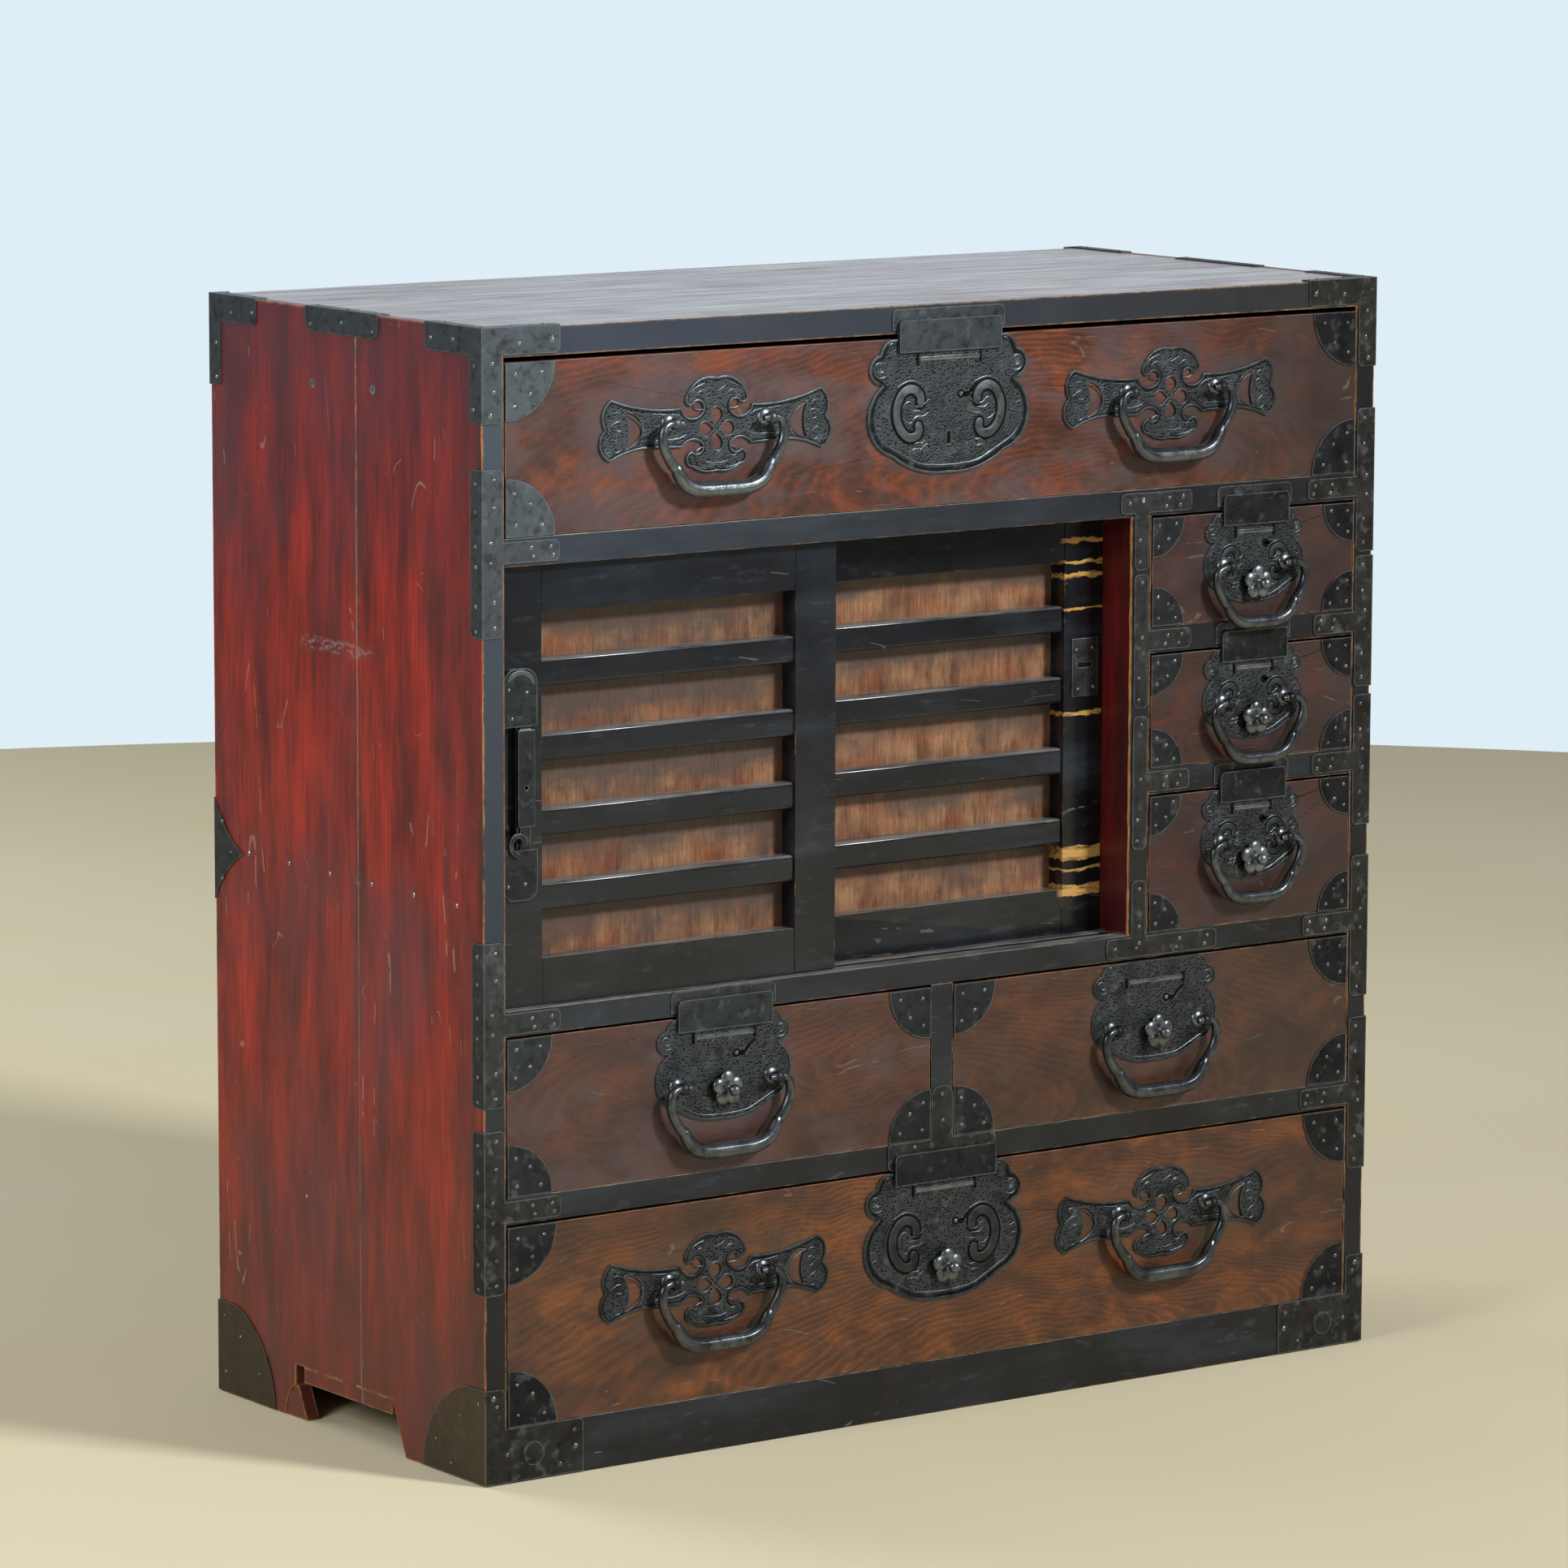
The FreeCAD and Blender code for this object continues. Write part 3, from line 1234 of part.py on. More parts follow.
def make_catch_plate(x1):
    """The plate on the right door's outer stile, with a small slot."""
    middle = x1 - STILE / 2 + LATCH_LEFT
    half = CATCH_WIDTH / 2
    low = SILL + CATCH_BOTTOM
    plate = rounded(middle - half, middle + half, low, low + CATCH_HEIGHT, STRAP, (), STRAP)
    slot_z = low + CATCH_HEIGHT / 2
    slot_half = CATCH_SLOT_WIDTH / 2
    slot = board(
        middle - slot_half,
        middle + slot_half,
        REAR_RECESS - OVERRUN,
        REAR_RECESS + OVERRUN,
        slot_z,
        slot_z + CATCH_SLOT_HEIGHT,
    )
    return placed(plate, 0, REAR_RECESS, 0).cut(slot)


# The seven drawers


def make_drawers():
    whole = (INNER_LEFT, INNER_RIGHT)
    top = Drawer("top_drawer", whole, (TOP_FLOOR, TOP_BOARD_FOOT), LARGE_LOCK, LARGE_CORNER)
    top.z1 = top.rail_foot - TOP_DRAWER_GAP
    bottom = Drawer("bottom_drawer", whole, (BOTTOM_FLOOR, LOWER_RAIL_FOOT), LARGE_LOCK, LARGE_CORNER)
    half_levels = (HALF_FLOOR, MIDDLE_RAIL_FOOT)
    left = Drawer("left_half_drawer", (INNER_LEFT, DIVIDER_LEFT), half_levels, MEDIUM_LOCK, MEDIUM_CORNER)
    right = Drawer("right_half_drawer", (DIVIDER_RIGHT, INNER_RIGHT), half_levels, MEDIUM_LOCK, MEDIUM_CORNER)
    smalls = [
        Drawer(name, (PARTITION_RIGHT, INNER_RIGHT), (floor, ceiling), SMALL_LOCK, SMALL_CORNER)
        for name, floor, ceiling in (
            ("upper_small_drawer", UP_FLOOR, UPPER_RAIL_FOOT),
            ("middle_small_drawer", MID_FLOOR, MID_RAIL_FOOT),
            ("lower_small_drawer", SILL, LOW_RAIL_FOOT),
        )
    ]
    for drawer, height in ((top, TOP_HANDLE_HEIGHT), (bottom, BOTTOM_HANDLE_HEIGHT)):
        drawer.handle_plates = True
        drawer.knob_z = drawer.z1 - LARGE_KNOB_DROP
        drawer.key_z = drawer.z1 - LARGE_KEY_DROP
        level = drawer.floor + height + HANDLE_POST_RISE
        drawer.bails = [(side * HANDLE_OFFSET, level, LARGE_BAIL) for side in SIDES]
    for drawer in (left, right):
        drawer.bails = [(drawer.middle, drawer.z1 - MEDIUM_POST_DROP, LARGE_BAIL)]
    for drawer in smalls:
        drawer.straight_key = True
        drawer.key_z = drawer.z1 - SMALL_KEY_DROP
        drawer.bails = [(drawer.middle, drawer.z1 - SMALL_POST_DROP, SMALL_BAIL)]
    top.knob_lost = True
    right.flap_lost = True
    right.has_strike = False
    bottom.has_strike = False
    return [top, left, right, bottom] + smalls


os.makedirs("parts", exist_ok=True)

rails = make_rails()
dust_boards = make_dust_boards()
back_boards = make_back_boards()
top_board = board(LEFT + TOP_LIP, RIGHT - TOP_LIP, 0, DEPTH, TOP_BOARD_FOOT, HEIGHT)
bottom_left = INNER_LEFT - HOUSING
bottom_right = INNER_RIGHT + HOUSING
bottom_foot = BASE_RAIL - BOTTOM_BOARD
bottom_board = board(bottom_left, bottom_right, BASE_RAIL_DEPTH, BACK_FACE, bottom_foot, BASE_RAIL)
shelf_foot = SILL + SHELF_ABOVE_SILL
shelf_right = PARTITION_LEFT + HOUSING
shelf = board(bottom_left, shelf_right, SHELF_SETBACK, BACK_FACE, shelf_foot, shelf_foot + SHELF)
front_partition = board(PARTITION_LEFT, PARTITION_RIGHT, 0, BACK_FACE, SILL, UPPER_RAIL_FOOT)
back_partition = board(
    PARTITION_LEFT, PARTITION_RIGHT, TRACK_RAIL_DEPTH, BACK_FACE, UPPER_RAIL_FOOT, TOP_FLOOR - DUST_BOARD
)
partition = fused([front_partition, back_partition])
in_partition = [rails["low_small"], rails["mid_small"], shelf] + dust_boards[3:]
partition = partition.cut(Part.makeCompound(in_partition))
housed_pieces = list(rails.values()) + dust_boards + back_boards + [top_board, bottom_board, shelf]

export("left_side_boards", make_side(-1, housed_pieces))
export("right_side_boards", make_side(1, housed_pieces))
export("top_board", [top_board])
export("bottom_board", [bottom_board])
export("back_boards", back_boards)
export("cross_rails", list(rails.values()))
export("partition_board", [partition])
export("half_drawer_divider", make_divider())
export("dust_boards", dust_boards)
export("cupboard_shelf", [shelf])
export("foot_battens", make_foot_battens())
export("corner_brackets", make_corner_brackets())
export("edge_straps", make_edge_straps())
export("carcase_nails", nails_on_sides() + nails_on_brackets())

drawers = make_drawers()
strikes = []
bails = {}
for drawer in drawers:
    export(drawer.name + "_front", [drawer_front(drawer)])
    export(drawer.name + "_box", drawer_box(drawer))
    export(drawer.name + "_iron", drawer_iron(drawer))
    if drawer.has_strike:
        strikes.append(strike_plate(drawer.middle, drawer.lock[2], drawer.rail_foot))
    body = SMALL_BAIL_BODY if drawer.bails[0][2] is SMALL_BAIL else BAIL_BODY
    for index, (x, z, size) in enumerate(drawer.bails):
        place = "" if len(drawer.bails) == 1 else ("left_", "right_")[index]
        bail_name = drawer.name.replace("drawer", place + "bail")
        bails[bail_name] = (drawer.name, x, z)
        export(bail_name, [make_bail(x, z, size, body)])
    if not drawer.knob_lost:
        export(drawer.name.replace("drawer", "knob"), [make_knob(drawer)])
export("strike_plates", strikes)

left_door_x = INNER_LEFT + DOOR_END_GAP
right_door_x = PARTITION_LEFT - DOOR_END_GAP - door_width()
for name, x0, recess in (("left", left_door_x, DOOR_RECESS), ("right", right_door_x, REAR_RECESS)):
    frame = door_frame(x0, recess)
    if name == "left":
        frame = [piece.cut(latch_pocket(x0)) for piece in frame]
    export(name + "_door_frame", frame)
    export(name + "_door_panel", [door_panel(x0, recess)])
    export(name + "_door_bars", door_bars(x0, recess))
export("latch_plates", make_latch_plates(left_door_x))
export("latch_bar", [make_latch_bar(left_door_x)])
export("catch_plate", [make_catch_plate(right_door_x + door_width())])
print("chest", WIDTH, DEPTH + PROUD, HEIGHT + STRAP)
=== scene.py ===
import json
import math
import random

import bpy
from mathutils import Matrix, Vector

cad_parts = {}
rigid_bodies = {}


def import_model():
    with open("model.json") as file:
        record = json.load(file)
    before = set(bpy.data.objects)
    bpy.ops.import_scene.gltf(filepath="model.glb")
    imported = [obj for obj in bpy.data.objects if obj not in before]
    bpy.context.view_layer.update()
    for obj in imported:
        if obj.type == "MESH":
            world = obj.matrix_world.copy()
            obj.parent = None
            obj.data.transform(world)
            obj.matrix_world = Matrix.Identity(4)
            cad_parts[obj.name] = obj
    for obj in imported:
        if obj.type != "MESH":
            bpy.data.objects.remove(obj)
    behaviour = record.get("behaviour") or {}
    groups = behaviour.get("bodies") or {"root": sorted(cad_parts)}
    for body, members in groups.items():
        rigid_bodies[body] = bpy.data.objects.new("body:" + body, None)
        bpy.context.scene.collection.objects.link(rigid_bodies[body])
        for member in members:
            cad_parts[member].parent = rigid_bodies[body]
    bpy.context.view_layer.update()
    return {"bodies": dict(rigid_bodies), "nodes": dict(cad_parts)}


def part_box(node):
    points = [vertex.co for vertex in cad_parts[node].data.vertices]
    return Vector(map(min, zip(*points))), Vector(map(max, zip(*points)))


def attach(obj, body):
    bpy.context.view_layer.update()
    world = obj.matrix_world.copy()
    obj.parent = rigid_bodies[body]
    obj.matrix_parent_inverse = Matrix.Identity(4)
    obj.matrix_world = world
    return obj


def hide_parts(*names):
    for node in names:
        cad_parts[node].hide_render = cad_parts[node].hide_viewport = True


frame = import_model()
bpy.ops.object.select_all(action="DESELECT")
scene = bpy.context.scene

# All shapes and patterns are given in millimetres
MM = 0.001

# The camera stands at the front left, a little above the chest
CAMERA_PLACE = (-3.4908, -4.85865, 1.4070)
CAMERA_AZIMUTH = math.radians(-35.506)
CAMERA_ELEVATION = math.radians(8.61)
CAMERA_ROLL = math.radians(0.16)
CAMERA_LENS = 165.57
CAMERA_SENSOR = 36

# Places of the chest: the front of the posts and rails, the back, the sides and the height
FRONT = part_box("cross_rails")[0][1]
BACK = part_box("back_boards")[1][1]
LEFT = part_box("left_side_boards")[0][0]
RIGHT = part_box("right_side_boards")[1][0]
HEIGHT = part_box("top_board")[1][2]
SIDE_JOINT = FRONT + 184 * MM
# A scrape across the joint of a side: its level and how far its middle lies behind the joint
SCRAPE_LEVEL = 648
SCRAPE_BEHIND = 31

# How far the iron's faces stand in front of the posts
STRAP = 1.2
PLATE = 1.5

# Ways that the grain of lacquered boards runs
ACROSS = 0
UPRIGHT = 2


# Camera, colours and shader nodes


def aim_camera():
    back = Vector((
        math.sin(CAMERA_AZIMUTH) * math.cos(CAMERA_ELEVATION),
        -math.cos(CAMERA_AZIMUTH) * math.cos(CAMERA_ELEVATION),
        math.sin(CAMERA_ELEVATION),
    ))
    level = Vector((0, 0, 1)).cross(back).normalized()
    upright = back.cross(level)
    right = level * math.cos(CAMERA_ROLL) + upright * math.sin(CAMERA_ROLL)
    up = upright * math.cos(CAMERA_ROLL) - level * math.sin(CAMERA_ROLL)
    turn = Matrix((right, up, back)).transposed().to_4x4()
    bpy.ops.object.camera_add()
    camera = bpy.context.object
    camera.matrix_world = Matrix.Translation(CAMERA_PLACE) @ turn
    camera.data.lens = CAMERA_LENS
    camera.data.sensor_width = CAMERA_SENSOR
    bpy.context.scene.camera = camera


def colour(code):
    """An sRGB hex colour as linear values."""
    parts = [int(code[i:i + 2], 16) / 255 for i in (0, 2, 4)]
    return [v / 12.92 if v <= 0.04045 else ((v + 0.055) / 1.055) ** 2.4 for v in parts] + [1]


def add(tree, kind, sockets, stops=(), **settings):
    """Adds a shader node with its settings, values and links, and gives its first output, if any."""
    node = tree.nodes.new("ShaderNode" + kind)
    for name, value in settings.items():
        setattr(node, name, value)
    for name, value in sockets.items():
        socket = node.inputs[name] if isinstance(name, int) else next(
            s for s in node.inputs if s.enabled and s.name == name
        )
        if isinstance(value, bpy.types.NodeSocket):
            tree.links.new(value, socket)
        else:
            socket.default_value = value
    for index, (place, value) in enumerate(stops):
        while len(node.color_ramp.elements) <= index:
            node.color_ramp.elements.new(place)
        node.color_ramp.elements[index].position = place
        node.color_ramp.elements[index].color = value
    return next((s for s in node.outputs if s.enabled), None)


def new_material(name):
    """An empty material, its node tree and the object's own coordinates."""
    material = bpy.data.materials.new(name)
    material.use_nodes = True
    tree = material.node_tree
    tree.nodes.clear()
    return material, tree, add(tree, "TexCoord", {}).node.outputs["Object"]


# Patterns: each is 0 where it does not show and 1 where it does


def patches(tree, place, size, low, high, stretch=(1, 1, 1), detail=4, seed=0):
    """Soft patches of a size in mm, drawn out along the axes, from 0 below low to 1 above high."""
    scale = [1 / (size * MM * s) for s in stretch]
    spot = add(tree, "Mapping", {"Vector": place, "Scale": scale, "Location": (seed, seed, seed)})
    noise = add(tree, "TexNoise", {"Vector": spot, "Scale": 1, "Detail": detail, "Roughness": 0.6})
    return add(tree, "MapRange", {"Value": noise, "From Min": low, "From Max": high})


def scratches(tree, place, size, width, stretch, seed, amount):
    """Thin broken lines: where a stretched noise crosses its middle, in some places only."""
    scale = [1 / (size * MM * s) for s in stretch]
    spot = add(tree, "Mapping", {"Vector": place, "Scale": scale, "Location": (seed, seed, seed)})
    noise = add(tree, "TexNoise", {"Vector": spot, "Scale": 1, "Detail": 1})
    away = add(tree, "Math", {0: noise, 1: 0.5}, operation="SUBTRACT")
    near = add(tree, "Math", {0: away}, operation="ABSOLUTE")
    line = add(tree, "MapRange", {"Value": near, "From Min": width, "From Max": width / 3})
    where = patches(tree, place, size * 0.7, amount, amount + 0.02, detail=2, seed=seed + 3)
    return add(tree, "Math", {0: line, 1: where}, operation="MULTIPLY")


def chips(tree, place, spacing, size, share, seed=0):
    """Small dents of a size in mm, in a share of the cells of a spacing in mm."""
    spot = add(tree, "Mapping", {"Vector": place, "Location": (seed, seed, seed)})
    cells = add(tree, "TexVoronoi", {"Vector": spot, "Scale": 1 / (spacing * MM)})
    near = size / spacing
    dot = add(tree, "MapRange", {"Value": cells, "From Min": near, "From Max": near * 0.6})
    pick = add(tree, "Math", {0: cells.node.outputs["Color"], 1: share}, operation="LESS_THAN")
    return add(tree, "Math", {0: dot, 1: pick}, operation="MULTIPLY")


def worn_edges(tree, place, radius, patch, low, high):
    """Rubbed edges of the shape, broken by patches of a size in mm."""
    rounded = add(tree, "Bevel", {"Radius": radius * MM}, samples=4)
    normal = add(tree, "NewGeometry", {}).node.outputs["Normal"]
    facing = add(tree, "VectorMath", {0: rounded, 1: normal}, operation="DOT_PRODUCT").node.outputs["Value"]
    edge = add(tree, "MapRange", {"Value": facing, "From Min": 0.995, "From Max": 0.86})
    where = patches(tree, place, patch, low, high, detail=6)
    return add(tree, "Math", {0: edge, 1: where}, operation="MULTIPLY")


def band(tree, value, middle, half, soft):
    """A stripe where a value in mm lies near a middle, with soft borders."""
    away = add(tree, "Math", {0: value, 1: middle * MM}, operation="SUBTRACT")
    near = add(tree, "Math", {0: away}, operation="ABSOLUTE")
    return add(tree, "MapRange", {"Value": near, "From Min": (half + soft) * MM, "From Max": half * MM})


def laid_over(tree, base, pattern, amount, code):
    """The base colour with another one laid over it by an amount, where a pattern shows."""
    share = add(tree, "Math", {0: pattern, 1: amount}, operation="MULTIPLY")
    return add(tree, "Mix", {"Factor": share, "A": base, "B": colour(code)}, data_type="RGBA")


def fibred(tree, base, fine, code, amount):
    """The base colour with the dark of a fine grain in it."""
    fibre = add(tree, "Mix", {"Factor": fine, "A": colour(code), "B": colour("ffffff")}, data_type="RGBA")
    return add(tree, "Mix", {"Factor": amount, "A": base, "B": fibre}, data_type="RGBA", blend_type="MULTIPLY")


# Materials of the chest


def bloom_and_painted_sheen(tree, place):
    """A pale blue-grey skin on iron and lacquer, strongest at the upper left of the front: partly a bloom,
    partly painted sheen of light from the upper left.
    """
    across = add(tree, "SeparateXYZ", {"Vector": place})
    level = across.node.outputs["Z"]
    left = add(tree, "MapRange", {"Value": across, "From Min": 350 * MM, "From Max": -350 * MM})
    up = add(tree, "MapRange", {"Value": level, "From Min": 150 * MM, "From Max": 850 * MM})
    return add(tree, "Math", {0: left, 1: up}, operation="MULTIPLY")


def bare_wood(tree, place):
    """Wood bared by wear: ochre, a little uneven."""
    ochre, pale = colour("7c4a26"), colour("c99a5c")
    uneven = patches(tree, place, 9, 0.4, 0.6, seed=6)
    return add(tree, "Mix", {"Factor": uneven, "A": ochre, "B": pale}, data_type="RGBA")


def old_black(tree, place):
    """Black urushi gone slightly blue, and brown in places."""
    tone = patches(tree, place, 70, 0.35, 0.65, detail=6, seed=3)
    brown = patches(tree, place, 22, 0.6, 0.75, detail=6, seed=8)
    black, blue = colour("0a0b0f"), colour("17191f")
    base = add(tree, "Mix", {"Factor": tone, "A": black, "B": blue}, data_type="RGBA")
    return laid_over(tree, base, brown, 1, "241a17")


def jointed_side(tree, place, base, depth, level):
    """The base colour of a side with the open joint between its two boards, a scrape and a shadow."""
    # The joint is a dusty line in a darker, uneven strip of painted shade
    joint = SIDE_JOINT / MM + 1
    sway = patches(tree, place, 60, 0.3, 0.7, stretch=(1, 1, 6), seed=12)
    wander = add(tree, "Math", {0: sway, 1: 2 * MM, 2: depth}, operation="MULTIPLY_ADD")
    strip = band(tree, wander, joint, 1, 14)
    uneven = patches(tree, place, 30, 0.4, 0.7, stretch=(1, 1, 3))
    joint_shade = add(tree, "Math", {0: strip, 1: uneven}, operation="MULTIPLY")
    base = laid_over(tree, base, joint_shade, 0.6, "40343a")
    # Grey dots in a row, where something was rubbed across the joint
    height = band(tree, level, SCRAPE_LEVEL, 3, 4)
    length = band(tree, wander, joint + SCRAPE_BEHIND, 44, 14)
    scrape = add(tree, "Math", {0: height, 1: length}, operation="MULTIPLY")
    dots = patches(tree, place, 3.2, 0.47, 0.57, stretch=(1, 1.8, 1), detail=2, seed=21)
    scrape = add(tree, "Math", {0: scrape, 1: dots}, operation="MULTIPLY")
    base = laid_over(tree, base, scrape, 0.5, "8a8486")
    line = band(tree, wander, joint, 0.4, 0.5)
    base = laid_over(tree, base, line, 0.75, "7c7478")
    # Dark shadow of old polish down the front edge
    edge = add(tree, "MapRange", {"Value": depth, "From Min": FRONT + 60 * MM, "From Max": FRONT + 6 * MM})
    uneven = patches(tree, place, 50, 0.3, 0.6, stretch=(1, 1, 4), seed=23)
    edge = add(tree, "Math", {0: edge, 1: uneven}, operation="MULTIPLY")
    return laid_over(tree, base, edge, 0.7, "2c1719")


def rubbed_front(tree, place, base, depth):
    """The base colour of a side with bright bare wood where its front edge is rubbed away."""
    sway = patches(tree, place, 4, 0.3, 0.7, stretch=(1, 1, 5), detail=4, seed=31)
    ragged = add(tree, "Math", {0: sway, 1: 1.6 * MM, 2: depth}, operation="MULTIPLY_ADD")
    rubbed = band(tree, ragged, FRONT / MM + 1.4, 0.9, 0.4)
    behind = add(tree, "Math", {0: depth, 1: FRONT + 0.15 * MM}, operation="GREATER_THAN")
    rubbed = add(tree, "Math", {0: rubbed, 1: behind}, operation="MULTIPLY")
    where = patches(tree, place, 60, 0.4, 0.5, stretch=(1, 1, 4), detail=4, seed=32)
    rubbed = add(tree, "Math", {0: rubbed, 1: where}, operation="MULTIPLY")
    return laid_over(tree, base, rubbed, 1, "c98546")


def red_lacquer(name, along, deep, bright, haze, haze_low, haze_share, coat, bloom_and_sheen_share):
    """Red-brown urushi wiped thinly over softwood boards, gone purple in places: its streaks follow the
    grain, scratches and chips show pale wood, and the front edges are black like the frame and rubbed."""
    material, tree, place = new_material(name)
    upright = along == UPRIGHT
    grain = [1, 1, 1]
    grain[along] = 5 if upright else 12
    parts = add(tree, "SeparateXYZ", {"Vector": place})
    depth, level = parts.node.outputs["Y"], parts.node.outputs["Z"]
    broad = patches(tree, place, 30, 0.36, 0.64, stretch=grain, detail=6)
    fine = patches(tree, place, 2.6, 0.3, 0.7, stretch=[g * g for g in grain], detail=4, seed=5)
    runs = patches(tree, place, 11, 0.5, 0.74, stretch=[g * 1.5 for g in grain], detail=5, seed=15)
    wide = [1 + g / 8 for g in grain]
    cloud = patches(tree, place, 120, haze_low, haze_low + 0.22, stretch=wide, detail=6, seed=9)
    cloud = add(tree, "Math", {0: cloud, 1: haze_share}, operation="MULTIPLY")
    base = add(tree, "Mix", {"Factor": broad, "A": colour(deep), "B": colour(bright)}, data_type="RGBA")
    base = fibred(tree, base, fine, "9c9494", 0.75)
    base = laid_over(tree, base, runs, 0.6, "2a0f10")
    if upright:
        # Purple-grey bloom under the top edge and a browner, duller foot
        upper = add(tree, "MapRange", {
            "Value": level, "From Min": 690 * MM, "From Max": 900 * MM, "To Max": 0.62,
        })
        cloud = add(tree, "Math", {0: cloud, 1: upper}, operation="ADD", use_clamp=True)
        lower = add(tree, "MapRange", {"Value": level, "From Min": 330 * MM, "From Max": 60 * MM})
        base = laid_over(tree, base, lower, 0.6, "5c3a2c")
    base = laid_over(tree, base, cloud, 1, haze)
    marks = scratches(tree, place, 60, 0.005, grain, 2, 0.6)
    cross = scratches(tree, place, 40, 0.004, (1, 1, 1), 7, 0.63)
    dents = chips(tree, place, 20, 1.2, 0.2)
    pale = add(tree, "Math", {0: marks, 1: cross}, operation="MAXIMUM")
    pale = add(tree, "Math", {0: pale, 1: dents}, operation="MAXIMUM")
    base = laid_over(tree, base, pale, 0.5, "a88878")
    raw = chips(tree, place, 42, 1.7, 0.24, seed=4)
    base = laid_over(tree, base, raw, 1, "cc8258")
    relief = add(tree, "Math", {0: fine, 1: pale}, operation="SUBTRACT")
    if upright:
        base = jointed_side(tree, place, base, depth, level)
    else:
        # Long pale streaks, where the top has been rubbed through to the wood's grain
        rubbed = patches(tree, place, 3.4, 0.5, 0.62, stretch=(60, 1, 1), detail=3, seed=25)
        where = patches(tree, place, 90, 0.45, 0.62, stretch=(2, 1, 1), detail=5, seed=26)
        rubbed = add(tree, "Math", {0: rubbed, 1: where}, operation="MULTIPLY")
        base = laid_over(tree, base, rubbed, 0.85, "d0cac4")
        # Dull streaks in the polish
        behind = add(tree, "Math", {0: depth, 1: FRONT + MM}, operation="GREATER_THAN")
        dull = patches(tree, place, 5, 0.46, 0.66, stretch=(30, 1, 1), detail=6, seed=27)
        dull = add(tree, "Math", {0: dull, 1: behind}, operation="MULTIPLY")
        base = laid_over(tree, base, dull, 0.75, "3c1e1a")
        coat = add(tree, "MapRange", {"Value": dull, "To Min": 1.0, "To Max": 0.4})
        relief = add(tree, "Math", {0: relief, 1: 0.17}, operation="MULTIPLY")
        relief = add(tree, "Math", {0: relief, 1: dull}, operation="SUBTRACT")
    front = add(tree, "Math", {0: depth, 1: FRONT + 0.9 * MM}, operation="LESS_THAN")
    # The black front edges get a blue-grey bloom with painted sheen towards the upper left
    bloom_and_sheen_tint = "4b5664" if upright else "455570"
    black = laid_over(tree, old_black(tree, place), bloom_and_painted_sheen(tree, place), bloom_and_sheen_share, bloom_and_sheen_tint)
    base = add(tree, "Mix", {"Factor": front, "A": base, "B": black}, data_type="RGBA")
    edges = worn_edges(tree, place, 2.6, 34, 0.36, 0.46)
    base = add(tree, "Mix", {"Factor": edges, "A": base, "B": bare_wood(tree, place)}, data_type="RGBA")
    if upright:
        base = rubbed_front(tree, place, base, depth)
    shine = patches(tree, place, 60, 0.3, 0.7, seed=4)
    rough = add(tree, "MapRange", {"Value": shine, "To Min": 0.34, "To Max": 0.5})
    height = 0.12 * MM if upright else 0.7 * MM
    bump = add(tree, "Bump", {"Height": relief, "Distance": height, "Strength": 0.5})
    shader = add(tree, "BsdfPrincipled", {
        "Base Color": base, "Roughness": rough, "Normal": bump, "Coat Weight": coat, "Coat Roughness": 0.25,
        "Coat Normal": bump, "Specular IOR Level": 0.36 if upright else 0.5,
    })
    add(tree, "OutputMaterial", {"Surface": shader})
    return material


